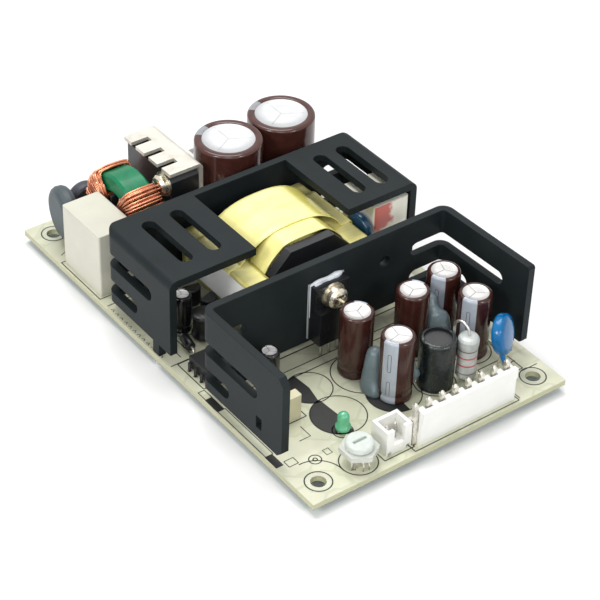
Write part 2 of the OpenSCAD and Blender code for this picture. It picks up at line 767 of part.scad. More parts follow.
// One E-shaped half, with its yoke at -Y and its legs running to y = 0.
module core_half() {
    half = core_l / 2;
    translate([-core_w / 2, -half, -core_h / 2]) cube([core_w, yoke_t, core_h]);
    for (x = [-core_w / 2, core_w / 2 - leg_w])
        translate([x, -half, -core_h / 2]) cube([leg_w, half, core_h]);
    rotate([90, 0, 0]) cylinder(d = centre_leg_d, h = half - 1);
}

module core_front_half() {
    color([0.12, 0.12, 0.13]) translate([core_x, core_y, core_zc]) core_half();
}

module core_rear_half() {
    color([0.12, 0.12, 0.13]) translate([core_x, core_y, core_zc]) mirror([0, 1, 0]) core_half();
}

// The bobbin's flange outline: a flat top with two sloping corners.
module flange_outline(grow = 0, low = 0) {
    hi = flange_up + grow;
    wide = flange_half + grow;
    flat = flange_flat + grow * 0.4;
    lo = -(core_zc - top - winding_low) + low;
    polygon([[-flat, hi], [flat, hi], [wide, hi - (wide - flat)], [wide, lo], [-wide, lo], [-wide, hi - (wide - flat)]]);
}

module bobbin_cheek() {
    linear_extrude(height = flange_t) difference() {
        flange_outline();
        circle(r = tube_r);
    }
}

module bobbin() {
    color([0.08, 0.08, 0.09]) translate([core_x, core_y, core_zc]) {
        translate([0, -bobbin_l / 2 + flange_t, 0]) rotate([90, 0, 0]) bobbin_cheek();
        translate([0, bobbin_l / 2, 0]) rotate([90, 0, 0]) bobbin_cheek();
        translate([0, bobbin_l / 2, 0]) rotate([90, 0, 0]) linear_extrude(height = bobbin_l) difference() {
            circle(r = tube_r + tube_t);
            circle(r = tube_r);
        }
        for (s = [-1, 1]) {
            y0 = s < 0 ? -core_l / 2 : bobbin_l / 2 - flange_t;
            translate([-flange_half, y0, -(core_zc - top - winding_low)])
                cube([2 * flange_half, core_l / 2 - bobbin_l / 2 + flange_t, rail_h]);
        }
    }
}

module transformer_winding() {
    color([0.72, 0.40, 0.22]) translate([core_x, core_y + winding_l / 2, core_zc]) rotate([90, 0, 0])
        linear_extrude(height = winding_l) difference() {
            intersection() {
                circle(r = winding_r);
                translate([-winding_r, -(core_zc - top - winding_low)]) square([2 * winding_r, 2 * winding_r + 4]);
            }
            circle(r = tube_r + tube_t + 0.05);
        }
}

module transformer_pins() {
    color([0.75, 0.75, 0.74]) leads(trafo_pins, top + winding_low);
}

// Tape folded over each outer leg of the core: along its top and down its outer side.
module leg_tape() {
    translate([-core_w / 2 - tape_t, -core_l / 2, core_h / 2]) cube([leg_w + tape_t, core_l, tape_t]);
    translate([-core_w / 2 - tape_t, -core_l / 2, -core_h / 2]) cube([tape_t, core_l, core_h + eps]);
}

module core_tape() {
    color([0.93, 0.86, 0.42]) translate([core_x, core_y, core_zc]) {
        leg_tape();
        mirror([1, 0, 0]) leg_tape();
    }
}

// The outline over the core and the winding: straight sides, flat legs and an arch between them.
module wrap_outline(grow) {
    half = core_w / 2 + tape_t + grow;
    up = core_h / 2 + tape_t + grow;
    span = wrap_half + grow;
    arch_r = (span * span + wrap_rise * wrap_rise) / (2 * wrap_rise);
    translate([-half, -core_h / 2 - 1]) square([2 * half, core_h / 2 + up + 1]);
    intersection() {
        translate([0, up + wrap_rise - arch_r]) circle(r = arch_r, $fn = 120);
        translate([-span, up - eps]) square([2 * span, wrap_rise + 1]);
    }
}

module outer_tape() {
    color([0.95, 0.90, 0.52]) translate([core_x, wrap_y0 + wrap_w, core_zc]) rotate([90, 0, 0])
        linear_extrude(height = wrap_w) difference() {
            wrap_outline(tape_t + 0.02);
            wrap_outline(0.02);
            translate([-core_w, -core_h / 2 - 2]) square([2 * core_w, 2]);
        }
}

module front_tape() {
    color([0.96, 0.91, 0.54]) translate([core_x, band_y0 + band_w - 0.1, core_zc]) rotate([90, 0, 0])
        linear_extrude(height = band_w - 0.15) difference() {
            intersection() {
                flange_outline(tape_t + 0.1);
                translate([-core_w / 2, core_h / 2 + tape_t]) square([core_w, core_h]);
            }
            flange_outline(0.02);
        }
}

module transformer_label() {
    label_t = 0.12;
    label_l = 20;
    label_h = core_h - 2.2;
    color([0.93, 0.93, 0.90])
        translate([core_x - core_w / 2 - 2 * tape_t - 0.04 - label_t, core_y - label_l / 2, core_zc - label_h / 2 + 0.6])
            cube([label_t, label_l, label_h]);
}

// ---------------------------------------------------------------- capacitors

// A can with a rounded shoulder and three shallow grooves across its top.
module can(d, h, r) {
    difference() {
        rotate_extrude() union() {
            square([d / 2, h - r]);
            square([d / 2 - r, h]);
            intersection() {
                translate([d / 2 - r, h - r]) circle(r = r);
                square([d / 2, h]);
            }
        }
        for (a = [90, 210, 330]) rotate([0, 0, a])
            translate([0, -vent_w / 2, h - vent_h]) cube([d * 0.34, vent_w, 1]);
    }
}

module bulk_can(i) {
    color([0.82, 0.83, 0.84]) {
        translate([bulk_places[i][0], bulk_places[i][1], top + sleeve_t]) can(bulk_d - 2 * sleeve_t, bulk_h - 2 * sleeve_t, 1.2);
        for (s = [-1, 1]) lead([bulk_places[i][0] + s * bulk_pitch / 2, bulk_places[i][1]], top + sleeve_t + eps);
    }
}

module bulk_can_left() {
    bulk_can(0);
}

module bulk_can_right() {
    bulk_can(1);
}

// The shrunk sleeve covers the side and rolls in over the top and bottom rims.
module bulk_sleeve(i) {
    outer = bulk_d / 2;
    inner = outer - sleeve_t;
    lip = 2.1;
    r = 1.2;
    color([0.24, 0.11, 0.08]) translate([bulk_places[i][0], bulk_places[i][1], top]) rotate_extrude() difference() {
        union() {
            square([outer, bulk_h - r - sleeve_t]);
            square([outer - r - sleeve_t, bulk_h]);
            intersection() {
                translate([outer - r - sleeve_t, bulk_h - r - sleeve_t]) circle(r = r + sleeve_t);
                square([outer, bulk_h]);
            }
        }
        translate([0, sleeve_t]) square([inner, bulk_h - r - 2 * sleeve_t]);
        square([inner - r, bulk_h - sleeve_t]);
        intersection() {
            translate([inner - r, bulk_h - r - sleeve_t]) circle(r = r);
            square([inner, bulk_h]);
        }
        translate([0, -1]) square([outer - lip, bulk_h + 2]);
    }
}

module bulk_sleeve_left() {
    bulk_sleeve(0);
}

module bulk_sleeve_right() {
    bulk_sleeve(1);
}

module radial_capacitor(p, d, h, pitch) {
    translate([p[0], p[1], top]) can(d, h, d * 0.1);
    for (s = [-1, 1]) lead([p[0] + s * pitch / 2, p[1]], top + eps);
}

module output_capacitor(i) {
    color([0.26, 0.12, 0.09]) radial_capacitor(out_places[i], out_d, out_h, out_pitch);
}

module small_capacitor(i) {
    color([0.08, 0.08, 0.09]) radial_capacitor(small_places[i], small_d, small_h, small_pitch);
}

module boxed_input_capacitor() {
    color([0.86, 0.85, 0.78]) {
        centred_box(xcap_at, [xcap_w, xcap_l, xcap_h], top);
        leads(xcap_leads, top + eps);
    }
}

module disc_part(p, d, t, z, turn, list) {
    rounded_disc(p, d, t, z, turn);
    leads(list, z - d / 2 + 1.6);
}

// A flat round part that stands on its edge, thinner at its rim than in its middle.
// Its face looks along X before it is turned.
module rounded_disc(p, d, t, z, turn) {
    rim = t * 0.3;
    translate([p[0], p[1], z]) rotate([0, 0, turn]) rotate([0, 90, 0]) rotate_extrude()
        polygon([[0, -t / 2], [d * 0.36, -t / 2], [d * 0.42, -t * 0.46], [d * 0.47, -t * 0.34], [d / 2, -rim / 2],
            [d / 2, rim / 2], [d * 0.47, t * 0.34], [d * 0.42, t * 0.46], [d * 0.36, t / 2], [0, t / 2]]);
}

module inrush_thermistor() {
    color([0.16, 0.17, 0.18]) disc_part(ntc_at, ntc_d, ntc_t, ntc_z, ntc_turn, ntc_leads);
}

module surge_varistor() {
    color([0.17, 0.18, 0.20]) disc_part(mov_at, mov_d, mov_t, mov_z, 90, mov_leads);
}

module safety_capacitor() {
    color([0.05, 0.25, 0.45]) disc_part(ycap_at, ycap_d, ycap_t, ycap_z, 0, ycap_leads);
}

module ceramic_capacitor() {
    color([0.10, 0.45, 0.75]) {
        disc_part(ceramic_at, ceramic_d, ceramic_t, ceramic_z, ceramic_turn + 90, []);
        for (p = ceramic_leads) lead(p, ceramic_z - ceramic_d * 0.3);
    }
}

module film_capacitor() {
    color([0.88, 0.86, 0.76]) {
        centred_box(film_at, [film_w, film_l, film_h], top);
        leads(film_leads, top + eps);
    }
}

module box_capacitor() {
    color([0.85, 0.83, 0.66]) {
        centred_box(box_at, [box_w, box_l, box_h], top, 0.3);
        leads(box_leads, top + eps);
    }
}

// ---------------------------------------------------------------- line choke

// The ring stands on edge with its axis along X.
module in_ring() {
    translate([ring_at[0], ring_at[1], ring_z]) rotate([0, 90, 0]) children();
}

module line_choke_ring() {
    color([0.05, 0.50, 0.32]) in_ring() rotate_extrude() difference() {
        translate([ring_bore / 2, -ring_w / 2]) square([(ring_d - ring_bore) / 2, ring_w]);
        for (x = [ring_bore / 2, ring_d / 2]) for (y = [-ring_w / 2, ring_w / 2])
            translate([x, y]) rotate([0, 0, 45]) square([0.9, 0.9], center = true);
    }
}

// A winding fills a sector round the ring's section, on one side of the ring.
module ring_winding(side) {
    g = 0.06;
    in_ring() rotate([0, 0, side * 90 - ring_span / 2]) rotate_extrude(angle = ring_span) difference() {
        translate([ring_bore / 2 - ring_wire, -ring_w / 2 - ring_wire])
            square([(ring_d - ring_bore) / 2 + 2 * ring_wire, ring_w + 2 * ring_wire]);
        translate([ring_bore / 2 - g, -ring_w / 2 - g])
            square([(ring_d - ring_bore) / 2 + 2 * g, ring_w + 2 * g]);
    }
}

module ring_winding_leads(side) {
    for (e = [-1, 1]) lead([ring_at[0] + e * ring_lead_x, ring_at[1] + side * 9.5], ring_z - 6.4);
}

module line_choke_rear_winding() {
    color([0.80, 0.47, 0.27]) {
        ring_winding(1);
        ring_winding_leads(1);
    }
}

module line_choke_front_winding() {
    color([0.80, 0.47, 0.27]) {
        ring_winding(-1);
        ring_winding_leads(-1);
    }
}

// The plastic foot carries the ring in a cradle, and a fin parts its two windings.
module line_choke_base() {
    fin = 0.8;
    strap_l = 3;
    strap_gap = 0.1;
    cradle_l = 6;
    color([0.07, 0.07, 0.08]) {
        difference() {
            union() {
                centred_box(ring_at, [ring_w + 2 * ring_wire, ring_base_l, ring_base_t], top);
                centred_box(ring_at, [ring_w, cradle_l, ring_base_t + ring_wire + 0.8], top, 0.3);
            }
            translate([ring_at[0] - ring_w, ring_at[1], ring_z]) rotate([0, 90, 0])
                cylinder(d = ring_d + 0.06, h = 2 * ring_w);
            for (p = ring_leads) translate([p[0], p[1], top - 1])
                cylinder(d = lead_d + 0.6, h = ring_base_t + 2, $fn = 16);
        }
        translate([ring_at[0] - ring_total / 2, ring_at[1] - strap_l / 2, top])
            cube([ring_wire - strap_gap, strap_l, ring_z - top]);
        translate([ring_at[0] - ring_total / 2, ring_at[1] - fin / 2, ring_z - ring_bore / 2 + 0.05])
            cube([ring_total / 2 + ring_w / 2, fin, ring_bore - 0.1]);
    }
}

// ---------------------------------------------------------------- fuse, inlet and chips

module fuse() {
    color([0.10, 0.10, 0.11]) {
        translate([fuse_at[0], fuse_at[1], top]) cylinder(d = fuse_d, h = fuse_h);
        leads(fuse_leads, top + eps);
    }
}

module inlet_housing() {
    x0 = inlet_at[0] - inlet_w / 2;
    y0 = inlet_at[1] - inlet_l / 2;
    color([0.92, 0.92, 0.90]) translate([x0, y0, top]) difference() {
        cube([inlet_w, inlet_l, inlet_h]);
        translate([inlet_wall, inlet_wall, inlet_floor]) cube([inlet_w - 2 * inlet_wall, inlet_l - 2 * inlet_wall, inlet_h]);
        translate([inlet_w / 2 - 3, inlet_l - inlet_wall - 1, inlet_floor + 2]) cube([6, inlet_wall + 2, inlet_h]);
        for (p = inlet_pins) translate([p[0] - x0, p[1] - y0, inlet_floor / 2])
            cube([pin_w + 2 * pin_slack, pin_w + 2 * pin_slack, inlet_floor + 2], center = true);
    }
}

module square_pin(p, h, w, d) {
    r = w / 2;
    tip = w * 0.5;
    translate([p[0] - r, p[1] - r, top]) cube([w, w, h - tip]);
    translate([p[0], p[1], top + h - tip - eps]) rotate_extrude($fn = 16)
        polygon([[0, 0], [r, 0], [r * 0.92, tip * 0.4], [r * 0.7, tip * 0.75], [r * 0.35, tip], [0, tip]]);
    lead(p, top + eps, d);
}

module inlet_pins() {
    color([0.76, 0.76, 0.72]) for (p = inlet_pins) square_pin(p, inlet_pin_h, pin_w, pin_w);
}

module chip(p, pairs) {
    long = pairs * dip_pitch - 0.4;
    z0 = top + dip_gap;
    difference() {
        translate([p[0] - dip_w / 2, p[1] - long / 2, z0]) cube([dip_w, long, dip_t]);
        translate([p[0], p[1] - long / 2, z0 + dip_t - 0.4]) cylinder(r = 0.8, h = 1);
    }
    for (q = dip_leads(p, pairs)) {
        way = q[0] > p[0] ? 1 : -1;
        translate([min(q[0] + way * 0.13, p[0] + way * (dip_w / 2 - eps)), q[1] - 0.5, z0 + dip_t / 2])
            cube([dip_row / 2 - dip_w / 2 + 0.13 + eps, 1, 0.26]);
        translate([q[0] - 0.13, q[1] - 0.5, top]) cube([0.26, 1, dip_gap + dip_t / 2 + 0.1]);
        lead(q, top + eps, 0.5);
    }
}

module controller_chip() {
    color([0.06, 0.06, 0.07]) chip(controller_at, controller_pairs);
}

module optocoupler() {
    color([0.90, 0.90, 0.88]) chip(coupler_at, coupler_pairs);
}

// ---------------------------------------------------------------- output side

// The tall wall has a thicker upper band and ribs that stand between the pins.
module output_header() {
    color([0.95, 0.95, 0.94]) difference() {
        union() {
            translate([header_start, wall_y0 + wall_step, top])
                cube([header_end - header_start, header_base_l - wall_step, header_base_t]);
            translate([header_end, wall_y0, top]) rotate([0, -90, 0]) linear_extrude(height = header_end - header_start)
                polygon([[0, wall_step], [wall_h * 0.68, wall_step], [wall_h * 0.68 + 0.3, 0], [wall_h, 0],
                    [wall_h, wall_t + 0.2], [0, wall_t + 0.2]]);
            for (i = [0 : pin_count - 1])
                translate([header_x0 + (i + 0.5) * pin_pitch - rib_w / 2, wall_y0 + wall_t, top])
                    cube([i == pin_count - 1 ? header_end - header_x0 - (i + 0.5) * pin_pitch + rib_w / 2 : rib_w,
                        rib_l, wall_h - 0.5]);
        }
        for (p = header_pins) translate([p[0], p[1], top])
            cube([pin_w + 2 * pin_slack, pin_w + 2 * pin_slack, 4 * header_base_t], center = true);
    }
}

module output_pins() {
    color([0.78, 0.77, 0.72]) for (p = header_pins) square_pin(p, pin_h, pin_w, pin_w);
}

// A shroud with a floor, open at the top and through a keyway in its front wall.
module sense_header() {
    x0 = sense_at[0] - sense_w / 2;
    y0 = sense_at[1] - sense_l / 2;
    color([0.95, 0.95, 0.94]) translate([x0, y0, top]) difference() {
        cube([sense_w, sense_l, sense_h]);
        translate([sense_wall, sense_wall, sense_floor]) cube([sense_w - 2 * sense_wall, sense_l - 2 * sense_wall, sense_h]);
        translate([sense_w / 2 - 1.5, -1, sense_floor + 0.8]) cube([3, sense_wall + 2, sense_h]);
        for (s = [-1, 1]) translate([sense_w / 2 + s * 2.7 - 0.5, -1, -1]) cube([1, sense_wall + 1, 1.8]);
        for (p = sense_pins) translate([p[0] - x0, p[1] - y0, sense_floor / 2])
            cube([sense_pin_w + 2 * pin_slack, sense_pin_w + 2 * pin_slack, sense_floor + 2], center = true);
    }
}

module sense_pins() {
    color([0.78, 0.77, 0.72]) for (p = sense_pins) square_pin(p, sense_h - 1, sense_pin_w, sense_pin_w);
}

// A drum core stands on its leads inside a shrunk sleeve.
module choke_core() {
    z0 = top + choke_lift;
    h = choke_h - choke_lift - 1;
    color([0.14, 0.14, 0.15]) {
        translate([choke_at[0], choke_at[1], z0]) rotate_extrude()
            polygon([[0, 0], [drum_r, 0], [drum_r, drum_t], [drum_r - drum_waist + 1.6, drum_t],
                [drum_r - drum_waist + 1.6, h - drum_t], [drum_r, h - drum_t], [drum_r, h], [0, h]]);
        leads(choke_leads, z0 + eps);
    }
}

module choke_sleeve() {
    outer = choke_d / 2;
    color([0.05, 0.05, 0.06]) translate([choke_at[0], choke_at[1], top]) rotate_extrude() difference() {
        union() {
            square([outer, choke_h - 1]);
            square([outer - 1, choke_h]);
            intersection() {
                translate([outer - 1, choke_h - 1]) circle(r = 1);
                square([outer, choke_h]);
            }
        }
        translate([0, -1]) square([drum_r + 0.03, choke_h + 0.1]);
        translate([0, -1]) square([drum_r - 0.6, choke_h + 2]);
    }
}

// The resistor stands on one end; its upper lead arches over and comes down beside it.
module load_resistor() {
    z0 = top + res_lift;
    z1 = z0 + res_l;
    cap_h = 2.4;
    r = res_d / 2;
    reach = norm(res_back);
    lead_r = 0.35;
    color([0.72, 0.73, 0.70]) {
        translate([res_at[0], res_at[1], z0]) rotate_extrude()
            polygon([[0, 0], [r * 0.5, 0], [r * 0.85, 0.3], [r, 0.9], [r, cap_h], [r * 0.95, cap_h + 0.7],
                [r * 0.92, res_l / 2], [r * 0.95, res_l - cap_h - 0.7], [r, res_l - cap_h], [r, res_l - 0.9],
                [r * 0.85, res_l - 0.3], [r * 0.5, res_l], [0, res_l]]);
        lead(res_at, z0 + eps);
        translate([res_at[0], res_at[1], z1 - eps]) cylinder(r = lead_r, h = res_arch + 2 * eps, $fn = 16);
        translate([res_at[0] + res_back[0] / 2, res_at[1] + res_back[1] / 2, z1 + res_arch])
            rotate([0, 0, atan2(res_back[1], res_back[0])]) rotate([90, 0, 0])
                rotate_extrude(angle = 180) translate([reach / 2, 0]) circle(r = lead_r, $fn = 16);
        lead(res_at + res_back, z1 + res_arch + eps);
    }
}

module status_led() {
    r = led_d / 2;
    color([0.30, 0.80, 0.50]) {
        translate([led_at[0], led_at[1], top + led_lift]) rotate_extrude() union() {
            square([r + 0.4, 1]);
            square([r, led_h - r]);
            intersection() {
                translate([0, led_h - r]) circle(r = r);
                square([r, led_h]);
            }
        }
        leads(led_leads, top + led_lift + eps, 0.5);
    }
}

module trimmer_base() {
    z0 = top + trimmer_lift;
    color([0.93, 0.93, 0.90]) {
        translate([dial_at[0], dial_at[1], z0]) difference() {
            rotate([0, 0, 30]) cylinder(d = trimmer_base_d / cos(30), h = trimmer_base_t, $fn = 6);
            translate([0, 0, -1]) cylinder(d = dial_boss_d + 2 * dial_gap, h = trimmer_base_t + 2);
        }
        leads(trimmer_leads, z0 + eps);
    }
}

// The dial turns on a boss in the base and has a screwdriver slot.
module trimmer_dial() {
    z0 = top + trimmer_lift + trimmer_base_t + dial_gap;
    color([0.90, 0.93, 0.91]) translate([dial_at[0], dial_at[1], z0]) {
        difference() {
            rotate_extrude() polygon([[0, 0], [dial_d / 2, 0], [dial_d / 2, dial_t - 0.4], [dial_d / 2 - 0.4, dial_t], [0, dial_t]]);
            translate([-dial_d * 0.28, -0.35, dial_t - 0.8]) cube([dial_d * 0.56, 0.7, 2]);
        }
        translate([0, 0, -trimmer_base_t - dial_gap]) cylinder(d = dial_boss_d, h = trimmer_base_t + dial_gap + eps);
    }
}

pcb();
solder_joints();
post_joints();
rear_heatsink();
front_heatsink();
output_rectifier();
switching_transistor();
insulating_pads();
screws();
flat_washers();
spring_washers();
bridge_bracket();
bridge_rectifier();
bridge_screw();
core_front_half();
core_rear_half();
bobbin();
transformer_winding();
transformer_pins();
core_tape();
outer_tape();
front_tape();
transformer_label();
bulk_can_left();
bulk_can_right();
bulk_sleeve_left();
bulk_sleeve_right();
output_capacitor(0);  // output_capacitor_1
output_capacitor(1);  // output_capacitor_2
output_capacitor(2);  // output_capacitor_3
output_capacitor(3);  // output_capacitor_4
output_capacitor(4);  // output_capacitor_5
small_capacitor(0);  // small_capacitor_rear
small_capacitor(1);  // small_capacitor_front
boxed_input_capacitor();
line_choke_ring();
line_choke_rear_winding();
line_choke_front_winding();
line_choke_base();
inrush_thermistor();
surge_varistor();
fuse();
inlet_housing();
inlet_pins();
safety_capacitor();
film_capacitor();
controller_chip();
optocoupler();
box_capacitor();
output_header();
output_pins();
sense_header();
sense_pins();
choke_core();
choke_sleeve();
load_resistor();
ceramic_capacitor();
status_led();
trimmer_base();
trimmer_dial();
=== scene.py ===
"""The look of an open frame power supply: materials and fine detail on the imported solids.

Everything is in metres. MM turns millimetres into metres, and place() turns a spot that is
measured from the board's front left corner into the part's own frame.
"""
import math
import random
from functools import reduce

import bmesh
import bpy
from mathutils import Matrix, Vector


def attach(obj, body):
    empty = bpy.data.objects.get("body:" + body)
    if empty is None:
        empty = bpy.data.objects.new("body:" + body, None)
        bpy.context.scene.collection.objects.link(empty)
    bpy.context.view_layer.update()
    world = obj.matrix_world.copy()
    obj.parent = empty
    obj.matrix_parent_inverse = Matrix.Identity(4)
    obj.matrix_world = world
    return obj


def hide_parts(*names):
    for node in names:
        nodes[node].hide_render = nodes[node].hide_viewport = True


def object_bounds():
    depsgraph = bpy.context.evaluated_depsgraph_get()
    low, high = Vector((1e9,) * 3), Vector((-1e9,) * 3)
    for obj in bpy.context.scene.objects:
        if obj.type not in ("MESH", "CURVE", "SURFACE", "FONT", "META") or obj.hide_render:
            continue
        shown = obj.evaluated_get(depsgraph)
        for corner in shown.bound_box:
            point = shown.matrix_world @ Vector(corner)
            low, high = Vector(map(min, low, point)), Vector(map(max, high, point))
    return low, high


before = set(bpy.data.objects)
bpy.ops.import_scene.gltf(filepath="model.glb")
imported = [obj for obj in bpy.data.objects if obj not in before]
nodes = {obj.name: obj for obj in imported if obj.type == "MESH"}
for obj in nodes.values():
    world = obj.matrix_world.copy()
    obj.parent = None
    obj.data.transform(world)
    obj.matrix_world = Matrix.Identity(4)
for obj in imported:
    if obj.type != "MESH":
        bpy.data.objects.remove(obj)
cad_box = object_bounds()

MM = 0.001
BOARD_W, BOARD_L, BOARD_T = 76.2, 127.0, 1.6
HOLE_INSET = 5.6
SUPPLY = "supply"

MOULDED = (0.012, 0.013, 0.015)
TINNED = (0.62, 0.61, 0.58)


def place(x, y, z=0.0):
    """A spot in millimetres from the board's front left corner, in the part's frame."""
    return Vector(((x - BOARD_W / 2) * MM, (y - BOARD_L / 2) * MM, z * MM))


# ---- shader helper

class Graph:
    """A material's node tree, with short calls for the nodes that are used here."""

    def __init__(self, name):
        self.material = bpy.data.materials.new(name)
        self.material.use_nodes = True
        self.tree = self.material.node_tree
        self.shader = self.tree.nodes["Principled BSDF"]
        self._object = None

    def add(self, kind, *values, **settings):
        """A new node whose first inputs get the values; None leaves an input as it is."""
        node = self.tree.nodes.new("ShaderNode" + kind)
        for key, value in settings.items():
            setattr(node, key, value)
        for socket, value in zip(node.inputs, values):
            self.put(socket, value)
        return node

    def put(self, socket, value):
        if value is None:
            return
        if isinstance(value, bpy.types.NodeSocket):
            self.tree.links.new(value, socket)
        elif isinstance(value, (tuple, list)) and len(value) == 3 and len(socket.default_value) == 4:
            socket.default_value = (*value, 1.0)
        else:
            socket.default_value = value

    def where(self):
        """Object coordinates in millimetres."""
        if self._object is None:
            self._object = self.scaled(self.add("TexCoord").outputs["Object"], (1000, 1000, 1000))
        return self._object

    def scaled(self, vector, factor):
        return self.add("VectorMath", vector, factor, operation="MULTIPLY").outputs[0]

    def split(self, vector):
        node = self.add("SeparateXYZ", vector)
        return node.outputs[0], node.outputs[1], node.outputs[2]

    def math(self, op, a, b=None, c=None):
        return self.add("Math", a, b, c, operation=op).outputs[0]

    def times(self, a, b):
        return self.math("MULTIPLY", a, b)

    def gain(self, value, factor, base):
        return self.math("MULTIPLY_ADD", value, factor, base)

    def turned(self, x, y, degrees):
        """How far a spot lies along a direction in the XY plane, and how far across it."""
        c, s = math.cos(math.radians(degrees)), math.sin(math.radians(degrees))
        along = self.math("ADD", self.times(x, c), self.times(y, s))
        across = self.math("SUBTRACT", self.times(y, c), self.times(x, s))
        return along, across

    def ramp(self, value, low, high, **settings):
        """0 at low and under it, 1 at high and over it."""
        return self.add("MapRange", value, low, high, **settings).outputs[0]

    def step(self, value, edge, soft=0.08):
        """0 under the edge and 1 over it, with a soft change."""
        return self.ramp(value, edge - soft, edge + soft, interpolation_type="SMOOTHSTEP")

    def below(self, value, edge, soft=0.08):
        return self.math("SUBTRACT", 1.0, self.step(value, edge, soft))

    def between(self, value, low, high, soft=0.08):
        """1 where value lies between low and high, with soft edges."""
        return self.times(self.step(value, low, soft), self.below(value, high, soft))

    def all_of(self, *masks):
        return reduce(self.times, masks)

    def any_of(self, *masks):
        return reduce(lambda a, b: self.math("MAXIMUM", a, b), masks)

    def mix(self, factor, a, b):
        """A colour between a and b; the node's colour sockets are its seventh and eighth."""
        return self.add("Mix", factor, *[None] * 5, a, b, data_type="RGBA").outputs[2]

    def lerp(self, factor, a, b):
        return self.add("Mix", factor, None, a, b, data_type="FLOAT").outputs[0]

    def blend(self, field, dark, light):
        """From dark to light over the middle of a noise field."""
        return self.mix(self.ramp(field, 0.3, 0.7), dark, light)

    def noise(self, size, detail=3.0, rough=0.55, stretch=(1, 1, 1)):
        """Noise whose features are about size millimetres across."""
        node = self.add("TexNoise", self.scaled(self.where(), tuple(s / size for s in stretch)))
        for socket, value in (("Scale", 1.0), ("Detail", detail), ("Roughness", rough)):
            self.put(node.inputs[socket], value)
        return node.outputs["Fac"]

    def bump(self, height, strength, distance_mm, normal=None):
        node = self.add("Bump")
        for socket, value in (("Strength", strength), ("Distance", distance_mm * MM), ("Height", height),
                              ("Normal", normal)):
            self.put(node.inputs[socket], value)
        return node.outputs[0]

    def soft_edges(self, radius_mm):
        return self.add("Bevel", radius_mm * MM, samples=4).outputs[0]

    def finish(self, colour=None, rough=None, metal=None, normal=None, **others):
        s = self.shader.inputs
        self.put(s["Base Color"], colour)
        self.put(s["Roughness"], rough)
        self.put(s["Metallic"], metal)
        self.put(s["Normal"], normal)
        names = {"coat": "Coat Weight", "coat_rough": "Coat Roughness", "clear": "Transmission Weight",
                 "specular": "Specular IOR Level"}
        for key, value in others.items():
            self.put(s[names[key]], value)
        return self.material


def shade(colour, factor):
    """The colour made darker or lighter."""
    return tuple(min(1.0, c * factor) for c in colour)


def plain(name, colour, rough=0.4, metal=0.0, grain=0.15, grain_size=0.25, tint=0.12, tint_size=6.0,
          edge=0.15, **others):
    """A surface with blotchy tint, fine grain in gloss and relief, and softened edges."""
    g = Graph(name)
    blotch = g.noise(tint_size, 4)
    fine = g.noise(grain_size, 2)
    base = g.blend(blotch, shade(colour, 1 - tint), shade(colour, 1 + tint))
    gloss = g.gain(fine, 0.16, rough - 0.08)
    gloss = g.gain(blotch, 0.08, gloss)
    normal = g.bump(fine, grain, 0.05, g.soft_edges(edge) if edge else None)
    return g.finish(base, gloss, metal, normal, **others)


# ---- mesh helpers

def new_object(name, data):
    obj = bpy.data.objects.new(name, data)
    bpy.context.scene.collection.objects.link(obj)
    return obj


def spun(degrees, axis="Z"):
    return Matrix.Rotation(math.radians(degrees), 4, axis)


def make(name, verts, faces, materials, body=SUPPLY, origin=(0, 0, 0), index=None, smooth=True):
    """A new piece from vertices in millimetres round an origin given from the board's corner."""
    mesh = bpy.data.meshes.new(name)
    mesh.from_pydata([Vector(v) * MM for v in verts], [], faces)
    for m in materials if isinstance(materials, (list, tuple)) else [materials]:
        mesh.materials.append(m)
    for i, poly in enumerate(mesh.polygons):
        poly.use_smooth = smooth
        if index:
            poly.material_index = index[i]
    mesh.update()
    obj = new_object(name, mesh)
    obj.location = place(*origin)
    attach(obj, body)
    return obj


def skin(rings, steps):
    """Faces over a stack of rings of steps points each, with a lid on both ends."""
    faces = []
    for k in range(rings - 1):
        low, high = k * steps, (k + 1) * steps
        for i in range(steps):
            j = (i + 1) % steps
            faces.append((low + i, low + j, high + j, high + i))
    faces.append(tuple(reversed(range(steps))))
    faces.append(tuple((rings - 1) * steps + i for i in range(steps)))
    return faces


def lathe(profile, steps=48, bands=None):
    """Turns a profile of (radius, height) pairs about Z. bands has a material index for each segment."""
    verts = []
    for r, z in profile:
        for i in range(steps):
            a = 2 * math.pi * i / steps
            verts.append((r * math.cos(a), r * math.sin(a), z))
    index = [band for band in bands for _ in range(steps)] + [bands[0], bands[-1]] if bands else None
    return verts, skin(len(profile), steps), index


def arc(cx, cy, r, a0, a1, steps, count=None):
    """Points on an arc from a0 to a1 degrees in even steps: all of them, or the first count."""
    angles = [math.radians(a0 + (a1 - a0) * i / steps) for i in range(count or steps + 1)]
    return [(cx + r * math.cos(a), cy + r * math.sin(a)) for a in angles]


def smooth_path(points, steps=6):
    """A Catmull-Rom curve through points."""
    pts = [Vector(p) for p in points]
    last = len(pts) - 1
    out = []
    for i in range(last):
        p0, p1, p2, p3 = pts[max(i - 1, 0)], pts[i], pts[i + 1], pts[min(i + 2, last)]
        for s in range(steps):
            t = s / steps
            out.append(0.5 * ((2 * p1) + (p2 - p0) * t + (2 * p0 - 5 * p1 + 4 * p2 - p3) * t * t
                              + (3 * p1 - p0 - 3 * p2 + p3) * t ** 3))
    out.append(pts[-1])
    return out


